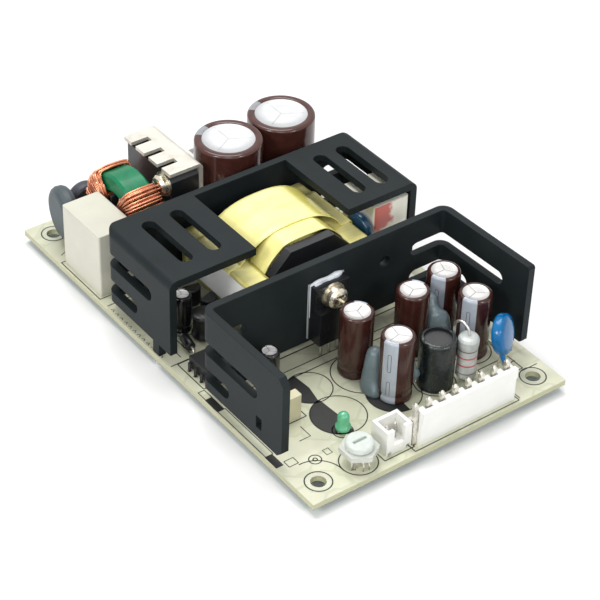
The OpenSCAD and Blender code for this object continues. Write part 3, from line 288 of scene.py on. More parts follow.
def tube(path, radius, sides=8):
    """Vertices and faces of a round tube along a path; radius is a number or one number per point."""
    n = len(path)
    radii = radius if isinstance(radius, (list, tuple)) else [radius] * n
    verts = []
    up = Vector((0, 0, 1))
    for i, p in enumerate(path):
        d = path[min(i + 1, n - 1)] - path[max(i - 1, 0)]
        d = d.normalized() if d.length > 1e-9 else Vector((0, 0, 1))
        if i == 0:
            up = Vector((1, 0, 0)) if abs(d.z) > 0.9 else Vector((0, 0, 1))
        side = d.cross(up).normalized()
        up = side.cross(d).normalized()
        for k in range(sides):
            a = 2 * math.pi * k / sides
            verts.append(p + (side * math.cos(a) + up * math.sin(a)) * radii[i])
    return verts, skin(n, sides)


def join(parts):
    """Joins (vertices, faces) pairs into one pair."""
    verts, faces = [], []
    for v, f in parts:
        base = len(verts)
        verts += list(v)
        faces += [tuple(i + base for i in face) for face in f]
    return verts, faces


def ribbon(profile, y0, y1, thick, wave, rows, seed):
    """A sheet that follows a profile of (x, z) points and runs from y0 to y1, in rows strips.

    wave is how far the sheet lifts off in soft ripples; its two long edges run a little unevenly.
    """
    r = random.Random(seed)
    n = len(profile)
    phase = [r.uniform(0, 6.28) for _ in range(4)]
    normals = []
    for i in range(n):
        a, b = profile[max(i - 1, 0)], profile[min(i + 1, n - 1)]
        dx, dz = b[0] - a[0], b[1] - a[1]
        length = math.hypot(dx, dz) or 1
        normals.append((-dz / length, dx / length))
    layers = []
    for off in (0.0, thick):
        sheet = []
        for j in range(rows + 1):
            v = j / rows
            for i, (x, z) in enumerate(profile):
                u = i / (n - 1)
                lift = wave * (math.sin(7 * u + phase[0] + 2.1 * v) * 0.5
                               + math.sin(15 * v + phase[1] + 5 * u) * 0.3
                               + math.sin(23 * u - 9 * v + phase[2]) * 0.2)
                ragged = 0.12 * math.sin(11 * u + phase[3]) * wave * 4 if j in (0, rows) else 0
                nx, nz = normals[i]
                out = off + abs(lift)
                sheet.append((x + nx * out, y0 + (y1 - y0) * v + ragged, z + nz * out))
        layers.append(sheet)
    verts = layers[0] + layers[1]
    size = (rows + 1) * n
    faces = []
    for j in range(rows):
        for i in range(n - 1):
            a, b, c, d = j * n + i, j * n + i + 1, (j + 1) * n + i + 1, (j + 1) * n + i
            faces.append((a + size, b + size, c + size, d + size))
            faces.append((d, c, b, a))
    for i in range(n - 1):
        faces.append((i, i + 1, i + 1 + size, i + size))
        k = rows * n
        faces.append((k + i + 1, k + i, k + i + size, k + i + 1 + size))
    for j in range(rows):
        a, b = j * n, (j + 1) * n
        faces.append((b, a, a + size, b + size))
        a, b = j * n + n - 1, (j + 1) * n + n - 1
        faces.append((a, b, b + size, a + size))
    return verts, faces


def wires(name, paths, radius, origin, material, sides=8):
    """Bright round wires along paths, as one piece."""
    verts, faces = join([tube(path, radius, sides) for path in paths])
    make(name, verts, faces, material, origin=origin)


def dress(node, material):
    """Gives a solid of the frame its material."""
    materials = nodes[node].data.materials
    materials.clear()
    materials.append(material)


# ---- materials

def board_material():
    """Pale laminate with tracks that shine through, a raw edge, and a green underside."""
    g = Graph("board_laminate")
    z = g.split(g.where())[2]
    blotch = g.noise(9, 4)
    weave = g.noise(0.5, 2, stretch=(1, 3, 1))
    cells = []
    for feature in ("F1", "F2"):
        spots = g.scaled(g.where(), (1 / 11, 1 / 9, 0))
        cells.append(g.add("TexVoronoi", spots, distance="MANHATTAN", feature=feature))
        g.put(cells[-1].inputs["Scale"], 1.0)
    near, second = cells
    gap = g.math("SUBTRACT", second.outputs["Distance"], near.outputs["Distance"])
    line = g.below(gap, 0.09, 0.05)
    base = g.blend(blotch, (0.565, 0.575, 0.42), (0.66, 0.665, 0.51))
    base = g.mix(g.times(line, 0.34), base, (0.40, 0.42, 0.27))
    cell = g.step(g.split(near.outputs["Color"])[0], 0.62, 0.03)
    base = g.mix(g.times(cell, 0.16), base, (0.50, 0.52, 0.36))
    base = g.mix(g.times(weave, 0.12), base, (0.72, 0.72, 0.58))
    rim = g.between(z, 0.12, BOARD_T - 0.1, 0.05)
    layers = g.noise(0.3, 2, stretch=(0.05, 0.05, 1))
    raw = g.mix(layers, (0.34, 0.34, 0.20), (0.58, 0.56, 0.36))
    base = g.mix(g.times(rim, 0.9), base, raw)
    green = g.mix(line, (0.02, 0.14, 0.05), (0.008, 0.06, 0.02))
    base = g.mix(g.below(z, 0.06, 0.03), base, green)
    rough = g.gain(blotch, 0.15, 0.27)
    relief = g.math("ADD", g.times(line, -0.6), g.times(weave, 0.4))
    return g.finish(base, rough, 0.0, g.bump(relief, 0.25, 0.04, g.soft_edges(0.12)))


def anodised_material():
    """Dull black anodising with a little dust and a few fine scratches."""
    g = Graph("black_anodised")
    tone = (0.0095, 0.0134, 0.0148)
    blotch = g.noise(14, 4)
    sand = g.noise(0.16, 2)
    dust = g.step(g.noise(0.9, 6, 0.7), 0.71, 0.02)
    scratch = g.step(g.noise(0.5, 3, stretch=(1, 1, 12)), 0.74, 0.02)
    base = g.blend(blotch, tone, tuple(t * 1.35 + 0.002 for t in tone))
    base = g.mix(g.times(g.any_of(dust, scratch), 0.22), base, (0.13, 0.15, 0.16))
    rough = g.gain(blotch, 0.12, 0.42)
    return g.finish(base, rough, 0.0, g.bump(sand, 0.3, 0.05, g.soft_edges(0.3)), specular=0.13)


def sleeve(name, colour, stripe, half, height, stripe_colour=(0.42, 0.46, 0.52), marks=8.2):
    """A glossy shrunk sleeve with a pale polarity stripe that carries hollow bars.

    stripe is the stripe's direction and half its half width, both in degrees. A bar stands on every
    marks millimetres, up to the can's height.
    """
    g = Graph(name)
    x, y, z = g.split(g.where())
    blotch = g.noise(3.0, 4)
    base = g.blend(blotch, shade(colour, 0.8), shade(colour, 1.25))
    along, across = g.turned(x, y, stripe)
    angle = g.times(g.math("ARCTAN2", across, along), 180 / math.pi)
    band = g.below(g.math("ABSOLUTE", angle), half, 1.2)
    base = g.mix(band, base, g.blend(g.noise(1.5, 3), shade(stripe_colour, 0.9), stripe_colour))
    turn = g.times(g.math("FRACT", g.math("DIVIDE", z, marks)), marks)
    dz = g.math("ABSOLUTE", g.math("SUBTRACT", turn, marks / 2))
    dz = g.math("MAXIMUM", g.math("SUBTRACT", dz, 2.2), 0.0)
    reach = g.math("SQRT", g.math("ADD", g.times(across, across), g.times(dz, dz)))
    bar = g.all_of(g.between(reach, 0.36, 0.52, 0.04), band, g.between(z, 2.6, height - 0.6))
    base = g.mix(g.times(bar, 0.8), base, (0.05, 0.05, 0.06))
    rough = g.gain(blotch, 0.1, 0.14)
    wrinkle = g.noise(2.2, 3, stretch=(1, 1, 0.4))
    normal = g.bump(wrinkle, 0.12, 0.12)
    return g.finish(base, rough, 0.0, normal, coat=0.2, coat_rough=0.12, specular=0.4)


def vent_top(name, reach, width, first=80, tone=(0.72, 0.71, 0.70), spread=(0, 110, 235),
             strength=0.75):
    """A bright pressed can top with three scored vent lines, the first of them at first degrees; the lines
    are painted dark as shade in their grooves, and strength is how dark.
    """
    g = Graph(name)
    x, y, _ = g.split(g.where())
    scores = []
    for s in spread:
        along, across = g.turned(x, y, first + s)
        thin = g.below(g.math("ABSOLUTE", across), width / 2, 0.06)
        scores.append(g.all_of(g.between(along, 0, reach, 0.15), thin))
    lines = g.any_of(*scores)
    frost = g.noise(0.4, 3)
    base = g.blend(g.noise(2.5, 4), shade(tone, 0.93), tone)
    # painted shade: the scores are filled dark, as shade in their grooves
    base = g.mix(g.times(lines, strength), base, (0.16, 0.16, 0.16))
    rough = g.gain(frost, 0.15, 0.38)
    height = g.math("SUBTRACT", g.times(frost, 0.15), lines)
    return g.finish(base, rough, 0.35, g.bump(height, 0.5, 0.12))


def tape_material():
    """Yellow polyester tape, with painted shade where it turns down the sides (darkest on the right-facing
    side) and along its streaky folds.
    """
    g = Graph("polyester_tape")
    # the second colour is an olive painted shade, not a colour of the tape
    pale, shade_olive, milky = (0.95, 0.87, 0.33), (0.46, 0.42, 0.055), (1, 0.97, 0.62)
    facing = g.split(g.add("NewGeometry").outputs["Normal"])[0]
    side = g.step(g.math("ABSOLUTE", facing), 0.30, 0.10)
    right = g.step(facing, 0.36, 0.06)
    # painted shade by facing: some on faces turned to the sides, more on those turned right
    steep = g.math("ADD", g.times(side, 0.30), g.times(right, 0.42))
    cloud = g.noise(7, 4)
    crease = g.noise(5, 5, 0.6, stretch=(0.35, 1.6, 0.35))
    light = tuple(0.75 * p + 0.25 * q for p, q in zip(pale, milky))
    base = g.mix(g.ramp(cloud, 0.32, 0.68), pale, light)
    # painted shade in streaks along the folds, then on the side faces
    base = g.mix(g.times(g.step(crease, 0.60, 0.08), 0.25), base, shade_olive)
    base = g.mix(steep, base, shade_olive)
    gloss = g.gain(cloud, 0.16, 0.18)
    return g.finish(base, gloss, 0.0, g.bump(crease, 0.25, 0.35), coat=0.15, coat_rough=0.18)


def shrink_material():
    """Black tube shrunk over a coil, with soft wrinkles where it gathers at its ends."""
    g = Graph("black_shrink_tube")
    z = g.split(g.where())[2]
    cloud = g.noise(2.4, 4)
    folds = g.noise(1.3, 4, stretch=(1, 1, 0.35))
    ends = g.any_of(g.step(z, 13.2, 1.2), g.below(z, 4.4, 1.6))
    height = g.times(folds, g.gain(ends, 0.9, 0.25))
    base = g.blend(cloud, (0.005, 0.009, 0.0095), (0.011, 0.017, 0.018))
    rough = g.gain(folds, 0.16, 0.20)
    normal = g.bump(height, 0.6, 0.5, g.soft_edges(0.3))
    return g.finish(base, rough, 0.0, normal, coat=0.15, coat_rough=0.15)


def copper_material():
    """Varnished copper wire with darker and brighter turns."""
    g = Graph("enamelled_copper")
    fine = g.noise(0.5, 2)
    base = g.blend(g.noise(2.5, 3), (0.40, 0.11, 0.045), (0.76, 0.32, 0.17))
    rough = g.gain(fine, 0.15, 0.16)
    return g.finish(base, rough, 0.75, g.bump(fine, 0.1, 0.05), coat=0.5, coat_rough=0.12)


def resistor_material():
    """A grey body with bands, each (height, half width, colour), and bright wire at both ends."""
    g = Graph("resistor_body")
    z = g.split(g.where())[2]
    base = g.blend(g.noise(1.6, 4), (0.40, 0.43, 0.42), (0.54, 0.57, 0.55))
    for height, half, colour in ((12.05, 0.16, (0.13, 0.07, 0.05)), (9.95, 0.2, (0.55, 0.03, 0.05)),
                                 (7.7, 0.2, (0.55, 0.03, 0.05)), (5.4, 0.14, (0.20, 0.09, 0.04))):
        base = g.mix(g.between(z, height - half, height + half, 0.05), base, colour)
    body_foot, body_top = 3.15, 14.1 + BOARD_T - 0.02
    wire = g.any_of(g.step(z, body_top, 0.02), g.below(z, body_foot, 0.03))
    base = g.mix(wire, base, TINNED)
    rough = g.gain(g.noise(0.8, 2), 0.12, 0.24)
    normal = g.bump(g.noise(1.2, 3), 0.12, 0.15)
    return g.finish(base, rough, g.times(wire, 0.9), normal, coat=0.25, coat_rough=0.2)


def leaded(name, colour, wire_below, rough=0.35, **others):
    """A moulded part whose leads, below a height, are bright tinned wire."""
    g = Graph(name)
    z = g.split(g.where())[2]
    fine = g.noise(0.3, 2)
    wire = g.below(z, wire_below, 0.04)
    base = g.mix(wire, g.blend(g.noise(4, 4), shade(colour, 0.86), shade(colour, 1.1)), TINNED)
    gloss = g.lerp(wire, g.gain(fine, 0.15, rough - 0.07), 0.3)
    normal = g.bump(fine, 0.12, 0.05, g.soft_edges(0.18))
    return g.finish(base, gloss, g.times(wire, 0.9), normal, **others)


mat_solder = plain("solder_tin", (0.62, 0.63, 0.63), 0.28, 0.9, grain=0.3, grain_size=0.6, tint=0.2,
                   tint_size=1.5)
mat_tin = plain("tinned_pin", (0.66, 0.64, 0.58), 0.24, 0.85, tint=0.15, tint_size=1.2, edge=0.08)
mat_zinc = plain("zinc_screw", (0.66, 0.61, 0.50), 0.24, 0.95, grain=0.2, tint=0.22, tint_size=1.5,
                 edge=0.12)
mat_bracket = plain("tinned_bracket", (0.66, 0.63, 0.56), 0.38, 0.55, grain=0.25, grain_size=0.5,
                    tint_size=3.5)
mat_black = plain("moulded_black", MOULDED, 0.34, grain=0.25, grain_size=0.14, tint=0.3, edge=0.25)
mat_pad = plain("insulating_pad", (0.45, 0.47, 0.48), 0.6, grain=0.2, tint=0.15)
mat_ferrite = plain("dark_ferrite", (0.03, 0.03, 0.033), 0.5, grain=0.4, grain_size=0.2, tint=0.25)
mat_tape = tape_material()
mat_label = plain("blank_paper_label", (0.92, 0.92, 0.90), 0.5, grain=0.1, tint=0.05, tint_size=3)
mat_copper = copper_material()
mat_green = plain("green_core_coat", (0.0, 0.17, 0.07), 0.3, grain=0.25, grain_size=0.5, tint=0.2,
                  tint_size=3, edge=0.3, coat=0.12, coat_rough=0.15, specular=0.3)
mat_cream = plain("cream_case", (0.59, 0.585, 0.495), 0.42, grain=0.12, grain_size=0.3, tint=0.04,
                  tint_size=8, edge=0.35)
mat_white = plain("white_nylon", (0.84, 0.84, 0.80), 0.32, grain=0.1, tint=0.03, edge=0.18)
mat_shrink = shrink_material()

# each material with its nodes; a leaded one has the height of its leads and its roughness
DRESSED = (
    (board_material(), ("pcb",)),
    (anodised_material(), ("rear_heatsink", "front_heatsink")),
    (mat_solder, ("solder_joints", "post_joints")),
    (mat_zinc, ("screws", "flat_washers", "spring_washers", "bridge_screw")),
    (mat_bracket, ("bridge_bracket",)),
    (mat_pad, ("insulating_pads",)),
    (mat_ferrite, ("core_front_half", "core_rear_half", "choke_core")),
    (mat_black, ("bobbin", "line_choke_base", "controller_chip")),
    (mat_tin, ("transformer_pins", "inlet_pins", "output_pins", "sense_pins")),
    (mat_white, ("inlet_housing", "optocoupler", "output_header", "sense_header")),
    (mat_tape, ("transformer_winding",)),
    (mat_label, ("transformer_label",)),
    (mat_green, ("line_choke_ring",)),
    (mat_cream, ("boxed_input_capacitor",)),
    (mat_shrink, ("choke_sleeve",)),
    (resistor_material(), ("load_resistor",)),
    (leaded("rectifier_case", MOULDED, 6.65, 0.24), ("output_rectifier",)),
    (leaded("transistor_case", MOULDED, 4.75, 0.24), ("switching_transistor",)),
    (leaded("bridge_case", MOULDED, 8.25, 0.3), ("bridge_rectifier",)),
    (leaded("thermistor_coat", (0.045, 0.062, 0.07), 3.6, 0.5), ("inrush_thermistor",)),
    (leaded("varistor_coat", (0.03, 0.035, 0.05), 3.6, 0.45), ("surge_varistor",)),
    (leaded("fuse_case", (0.02, 0.02, 0.022), BOARD_T, 0.3), ("fuse",)),
)
for material, names in DRESSED:
    for node_name in names:
        dress(node_name, material)


# ---- capacitors

def capacitor(name, node, x, y, d, h, sleeve_mat, top_mat, crimp=2.0, lip=0.9, dish=0.18):
    """A can in a shrunk sleeve that rolls in over the rim, with a groove at the height crimp.

    lip is the sleeve's width on the top, and dish how far the bright top lies under it.
    """
    r = d / 2
    profile = [(r - 0.45, 0.0), (r - 0.12, 0.12), (r, 0.45), (r, crimp - 0.75), (r - 0.14, crimp - 0.45),
               (r - 0.34, crimp), (r - 0.14, crimp + 0.45), (r, crimp + 0.8)]
    profile += [(r, h * 0.3), (r, h * 0.5), (r, h * 0.7)]
    profile += arc(r - 0.85, h - 0.85, 0.85, 0, 78, 7)
    inner = r - lip
    profile += [(inner + 0.12, h - 0.02), (inner, h - 0.10), (inner - 0.04, h - dish)]
    bands = [0] * (len(profile) - 1) + [1]
    profile += [(inner * 0.6, h - dish + 0.02), (0.05, h - dish + 0.03)]
    bands += [1]
    verts, faces, index = lathe(profile, 56, bands)
    obj = make(name, verts, faces, [sleeve_mat, top_mat], origin=(x, y, BOARD_T), index=index)
    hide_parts(node)
    return obj


# Centres of the cans. The output cans also have the turn of their stripe and of their first vent line.
OUTPUT_D, OUTPUT_H = 8.4, 18.4
OUTPUT_CANS = (
    ("output_capacitor_1", 36.5, 32.2, 38, 150), ("output_capacitor_2", 38.9, 19.6, 205, 80),
    ("output_capacitor_3", 52.7, 31.1, 30, 100), ("output_capacitor_4", 63.9, 32.9, 208, 70),
    ("output_capacitor_5", 64.4, 21.7, 208, 85),
)
SMALL_D, SMALL_H = 5.0, 11.0
SMALL_CANS = (("small_capacitor_rear", 11.1, 69.2), ("small_capacitor_front", 16.0, 39.2))
BULK_D, BULK_H = 18.0, 27.4
BULK_CANS = (("left", 45.9, 99.0), ("right", 64.1, 100.9))

for cad, cx, cy, stripe, vent in OUTPUT_CANS:
    coat = sleeve("sleeve_" + cad, (0.045, 0.0135, 0.0105), stripe, 27, OUTPUT_H)
    top = vent_top("top_" + cad, 3.1, 0.17, first=vent)
    capacitor("can_" + cad, cad, cx, cy, OUTPUT_D, OUTPUT_H, coat, top)

top_small = vent_top("vented_top_small", 3.0, 0.17)
for cad, cx, cy in SMALL_CANS:
    coat = sleeve("sleeve_" + cad, (0.010, 0.010, 0.012), 60, 26, SMALL_H)
    capacitor("can_" + cad, cad, cx, cy, SMALL_D, SMALL_H, coat, top_small, crimp=1.5,
              lip=0.6)

# marks is longer than the large cans, so that their stripe has one bar, at half of it.
coat_large = sleeve("brown_sleeve_large", (0.060, 0.019, 0.014), 120, 16, 27, marks=40,
                    stripe_colour=(0.30, 0.31, 0.33))
top_large = vent_top("vented_top_large", 6.0, 0.22, first=90, tone=(0.66, 0.67, 0.685),
                     spread=(0, 120, 240), strength=0.30)
for side, cx, cy in BULK_CANS:
    obj = capacitor("bulk_" + side, "bulk_sleeve_" + side, cx, cy, BULK_D, BULK_H, coat_large, top_large,
                    crimp=2.6, lip=2.0, dish=0.3)
    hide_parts("bulk_can_" + side)

# ---- line choke windings

# centre of the ring, whose axis runs along X, and the section that its coating leaves for the wire
RING = (17.8, 104.0, 14.7)
RING_HALF, RING_OUTER, RING_INNER = 4.20, 11.45, 5.55
COPPER_R = 0.31


def turn(theta, advance, lift, squeeze):
    """One turn of wire round the ring's section, as points in millimetres round the ring's centre."""
    half, out, inn = RING_HALF + lift, RING_OUTER + lift, RING_INNER - squeeze
    mid = (out + inn) / 2
    loop = ((out - 0.9, -half), (out - 0.1, -half + 0.8), (out + 0.2, 0), (out - 0.1, half - 0.8),
            (out - 0.9, half), (mid, half + 0.15), (inn + 0.6, half), (inn, half - 0.9), (inn, -half + 0.9),
            (inn + 0.6, -half), (mid, -half - 0.15))
    pts = []
    for k, (r, a) in enumerate(loop):
        t = theta + advance * k / len(loop)
        pts.append(Vector((a, r * math.cos(t), r * math.sin(t))))
    return pts


def winding(side, seed):
    """Two layers of turns on one half of the ring; side is 1 at the rear and -1 at the front."""
    r = random.Random(seed)
    parts = []
    for layer, count, degrees, lift in ((0, 32, 117, 0.0), (1, 27, 108, 0.5)):
        span = math.radians(degrees)
        path = []
        for i in range(count):
            theta = -span / 2 + span * i / (count - 1) + r.uniform(-0.022, 0.022) * (1 + layer)
            if side < 0:
                theta = math.pi - theta
            squeeze = lift * 0.6 + (i % 2) * 0.45
            path += turn(theta, side * span / (count - 1), lift + r.uniform(0, 0.28), squeeze)
        parts.append(tube(smooth_path(path, 3), COPPER_R))
    return parts


for cad, side, seed in (("line_choke_rear_winding", 1, 3), ("line_choke_front_winding", -1, 8)):
    parts = winding(side, seed)
    for x in (-3.4, 3.4):
        lead = [Vector((x, side * 9.5, -RING[2])), Vector((x, side * 9.5, -9.5)),
                Vector((x * 1.1, side * 9.3, -6.9))]
        parts.append(tube(lead, 0.38, 7))
    v, f = join(parts)
    obj = make("wire_" + cad, v, f, mat_copper, origin=RING)
    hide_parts(cad)

# ---- transformer tapes

# middle of the core, half its width, and the top and foot of the tape on its legs
CORE_X = 39.6
CORE_HALF = 18.3
LEG_TOP, LEG_LOW = 18.8, 7.4


def wrap_profile(half, low, top, rise, span, steep=2.5, count=36):
    """Up one side face, in over the leg, over the winding and down again, as (x, z) points.

    The arch over the winding is 2 span wide and rises by rise; steep squares its shoulders.
    """
    side = [(half, low + (top - 0.5 - low) * i / 5) for i in range(6)]
    side += [(half - 0.12, top - 0.12), (half - 0.5, top), ((half + span) / 2, top),
             (span + 0.5, top + 0.02)]
    arch = []
    for i in range(count + 1):
        u = math.cos(math.pi * i / count)
        arch.append((-u * span, top + 0.05 + rise * (1 - abs(u) ** steep) ** 0.8))
    points = [(-x, z) for x, z in side] + arch + list(reversed(side))
    return [(CORE_X + x, z) for x, z in points]


profile = wrap_profile(CORE_HALF + 0.34, LEG_LOW + 0.2, LEG_TOP + 0.34, 6.85, 15.2)
v, f = ribbon(profile, 62.5, 78.2, thick=0.2, wave=0.10, rows=16, seed=5)
obj = make("tape_main_wrap", v, f, mat_tape)
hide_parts("outer_tape")

# the edge of the bobbin's front cheek under the second band
FLANGE = [(27.6, 18.95), (27.9, 19.6), (28.8, 21.0), (30.5, 22.9), (32.4, 24.5), (33.8, 25.2), (36.0, 25.5),
          (39.6, 25.65), (43.2, 25.5), (45.4, 25.2), (46.8, 24.5), (48.7, 22.9), (50.4, 21.0), (51.3, 19.6),
          (51.6, 18.95)]
profile = [(p.x, p.z) for p in smooth_path([(x, 0, z) for x, z in FLANGE], 4)]
v, f = ribbon(profile, 57.1, 63.6, thick=0.2, wave=0.08, rows=8, seed=9)
obj = make("tape_front_band", v, f, mat_tape)
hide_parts("front_tape")

pieces = []
for s in (-1, 1):
    outer = [(CORE_X + s * (CORE_HALF + 0.05), LEG_LOW + 0.2 + i * 1.8) for i in range(6)]
    outer += [(CORE_X + s * (CORE_HALF + 0.02), LEG_TOP - 0.25),
              (CORE_X + s * (CORE_HALF - 0.25), LEG_TOP + 0.03)]
    outer += [(CORE_X + s * (CORE_HALF - 1 - 5.0 * i / 4), LEG_TOP + 0.05) for i in range(5)]
    if s > 0:
        outer.reverse()
    pieces.append(ribbon(outer, 48.4, 83.8, thick=0.18, wave=0.07, rows=16, seed=12 + s))
v, f = join(pieces)
obj = make("tape_on_legs", v, f, mat_tape)
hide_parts("core_tape")

# ---- discs with run-down coating

# radii of the coating that runs down a leg, from the disc to its end
DRIP_RADII = [1.25, 1.15, 1.05, 0.95, 0.85, 0.74, 0.66, 0.6, 0.55, 0.5, 0.45, 0.4, 0.3]


def coated_disc(name, node, x, y, z, d, t, turn_deg, legs, material, run=2.6, lean=0.0, twist=0.0):
    """A lens-shaped disc on edge whose coating runs down its two legs, by run millimetres.

    turn_deg places the feet, legs apart; twist and lean turn the disc further on them.
    """
    steps, rings = 40, 9
    verts = []
    for k in range(rings + 1):
        u = math.pi * k / rings
        r = d / 2 * (1 - (1 - math.sin(u)) ** 2.4) if 0 < k < rings else 0.02
        for i in range(steps):
            a = 2 * math.pi * i / steps
            drop = 1.0 + 0.05 * max(0.0, -math.sin(a)) ** 2
            verts.append(Vector((r * math.cos(a), t / 2 * math.cos(u), r * math.sin(a) * drop)))
    parts = [(verts, skin(rings + 1, steps))]
    top_z = -d / 2 * 0.72
    for s in (-1, 1):
        path = [Vector((s * legs / 2 * share, 0, height)) for share, height in
                ((0.86, top_z + 0.9), (0.94, top_z), (1.0, top_z - run * 0.45), (1.0, top_z - run * 0.8),
                 (1.0, top_z - run))]
        parts.append(tube(smooth_path(path, 3), DRIP_RADII, 12))
    v, f = join(parts)
    swing = spun(turn_deg)
    tilt = spun(turn_deg + twist) @ spun(-lean, "X")
    obj = make(name, [tilt @ p for p in v], f, material, origin=(x, y, z))
    paths = []
    for s in (-1, 1):
        foot = swing @ Vector((s * legs / 2, 0, 0))
        neck = tilt @ Vector((s * legs / 2, 0, -d / 2 * 0.8))
        path = [Vector((foot.x, foot.y, -z)), Vector((foot.x, foot.y, -z + 2.0)), neck]
        paths.append(smooth_path(path, 5))
    wires(name + "_wires", paths, 0.34, (x, y, z), mat_tin)
    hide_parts(node)


mat_blue = plain("blue_epoxy", (0.0, 0.125, 0.33), 0.13, grain=0.02, grain_size=1.5, tint=0.14, tint_size=3,
                 coat=0.15, coat_rough=0.05, specular=0.3)
coated_disc("blue_disc", "ceramic_capacitor", 65.5, 12.2, 12.8, 10.0, 3.4, 20, 5.0, mat_blue, run=3.2,
            lean=14, twist=11)
mat_deep_blue = plain("deep_blue_epoxy", (0.0, 0.045, 0.11), 0.3, grain=0.1, tint=0.2, tint_size=3,
                      coat=0.4, coat_rough=0.1)
coated_disc("safety_disc", "safety_capacitor", 60.6, 62.0, 16.0, 9.0, 2.6, 90, 5.0, mat_deep_blue)

# ---- film capacitors

def film_material():
    """A white wound case with a red mark at the upper left of its front, turning brown towards its bottom.
    """
    g = Graph("wound_film_case")
    x, _, z = g.split(g.where())
    cloud = g.noise(3.0, 4)
    warp = g.times(g.math("SUBTRACT", g.noise(3.0, 5), 0.5), 7.0)
    base = g.blend(cloud, (0.84, 0.81, 0.66), (0.93, 0.92, 0.82))
    left = g.below(g.math("ADD", x, warp), 67.6 - BOARD_W / 2, 0.9)
    high = g.step(g.math("ADD", z, warp), 16.4, 1.0)
    facing = g.split(g.add("NewGeometry").outputs["Normal"])[1]
    front = g.below(facing, -0.6, 0.2)
    base = g.mix(g.times(g.all_of(left, high, front), 0.9), base, (0.60, 0.055, 0.035))
    low = g.below(g.math("ADD", z, warp), 14.4, 1.2)
    base = g.mix(g.times(low, 0.55), base, (0.30, 0.20, 0.09))
    return g.finish(base, 0.35, 0.0, g.bump(cloud, 0.2, 0.2, g.soft_edges(0.8)), coat=0.2, coat_rough=0.2)


dress("film_capacitor", film_material())
dress("box_capacitor", plain("small_cream_case", (0.66, 0.62, 0.42), 0.4, tint=0.05, edge=0.25))

# ---- lamp and trimmer

# middle of the lamp's foot, which stands above the board on its wires
LAMP = (20.7, 16.2, 2.5)
mat_lens = plain("green_lens", (0.17, 0.68, 0.38), 0.12, grain=0.03, tint=0.05, edge=0, clear=0.35,
                 coat=0.4, coat_rough=0.05)
profile = [(1.9, 0.0), (1.9, 0.8), (1.75, 1.0), (1.5, 1.05), (1.5, 2.2)] + arc(0, 3.3, 1.5, 0, 86, 9)
v, f, _ = lathe(profile, 32)
lens = make("lamp_lens", v, f, mat_lens, origin=LAMP)
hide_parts("status_led")
wires("lamp_wires", [[Vector((x, 0, -LAMP[2])), Vector((x, 0, 0.6))] for x in (-1.27, 1.27)],
      0.25, LAMP, mat_tin, 6)

mat_rotor = plain("frosted_rotor", (0.76, 0.82, 0.77), 0.3, grain=0.2, grain_size=0.5, tint=0.06,
                  tint_size=2, edge=0.5, clear=0.25, coat=0.2, coat_rough=0.15)
dress("trimmer_dial", mat_rotor)
dress("trimmer_base", leaded("trimmer_body", (0.76, 0.78, 0.72), 4.9, 0.3, clear=0.3))
# foot and upper end of each of the trimmer's wires, (x, y, x, y)
FEET = ((16.1, 2.4, 16.3, 3.4), (17.5, 2.1, 17.4, 3.2), (14.0, 4.2, 14.6, 4.8))
wires("trimmer_wires", [[Vector((x0, y0, -0.1)), Vector((x0, y0, 1.4)), Vector((x1, y1, 3.5))]
                        for x0, y0, x1, y1 in FEET], 0.22, (0, 0, BOARD_T), mat_tin, 6)

# ---- grease and glue

def blob(name, spots, material, seed, wobble, voxel=0.45, relaxed=6):
    """A soft mass of overlapping balls, given as (x, y, z, radius) and joined into one skin."""
    r = random.Random(seed)
    bm = bmesh.new()
    for *centre, radius in spots:
        ball = bmesh.ops.create_icosphere(bm, subdivisions=3, radius=radius)
        for vert in ball["verts"]:
            vert.co += Vector(centre)
    mesh = bpy.data.meshes.new(name)
    bm.to_mesh(mesh)
    bm.free()
    for vert in mesh.vertices:
        vert.co *= MM
    obj = new_object(name, mesh)
    obj.location = place(0, 0, 0)
    remesh = obj.modifiers.new("join", "REMESH")
    remesh.mode = "VOXEL"
    remesh.voxel_size = voxel * MM
    relax = obj.modifiers.new("relax", "SMOOTH")
    relax.iterations = relaxed
    relax.factor = 0.6
    depsgraph = bpy.context.evaluated_depsgraph_get()
    baked = bpy.data.meshes.new_from_object(obj.evaluated_get(depsgraph))
    obj.modifiers.clear()
    obj.data = baked
    baked.materials.clear()
    baked.materials.append(material)
    board_top = (BOARD_T + 0.01) * MM
    for vert in baked.vertices:
        vert.co += Vector([r.uniform(-1, 1) for _ in range(3)]) * wobble * 0.12 * MM
        vert.co.z = max(vert.co.z, board_top)
    for poly in baked.polygons:
        poly.use_smooth = True
    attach(obj, SUPPLY)


def trail(count, start, way):
    """Balls (x, y, z, radius) at even steps from start, all along way."""
    return [tuple(a + b * (i / (count - 1)) for a, b in zip(start, way)) for i in range(count)]


mat_glue = plain("clear_silicone", (0.20, 0.265, 0.29), 0.30, grain=0.03, grain_size=1.5, tint=0.15,
                 tint_size=2, edge=0, clear=0.35, coat=0.1, coat_rough=0.25)
# a lump in front of the second can, and trails that climb between the others
GLUE = [(43.6, 20.5, 4.2, 2.2), (44.2, 18.8, 6.0, 1.6), (43.8, 19.6, 8.2, 1.3)]
GLUE += trail(8, (35.9, 24.2, 2.6, 3.3), (1.3, 1.6, 8.0, -1.1))
GLUE += trail(8, (34.9, 22.4, 2.2, 2.2), (1.4, 2.6, 3.6, -0.5))
GLUE += trail(10, (57.8, 30.2, 3.0, 3.1), (0.6, 1.0, 11.0, -0.9))
GLUE += trail(10, (59.6, 26.6, 2.6, 2.7), (-0.2, 1.0, 8.0, -0.6))
GLUE += trail(10, (57.2, 27.6, 3.0, 2.9), (0.3, 0.8, 8.6, -0.7))
blob("glue_between_cans", GLUE, mat_glue, seed=4, wobble=0.06, relaxed=24)

mat_grease = plain("white_grease", (0.70, 0.74, 0.78), 0.42, grain=0.3, grain_size=0.5, tint=0.06, edge=0)
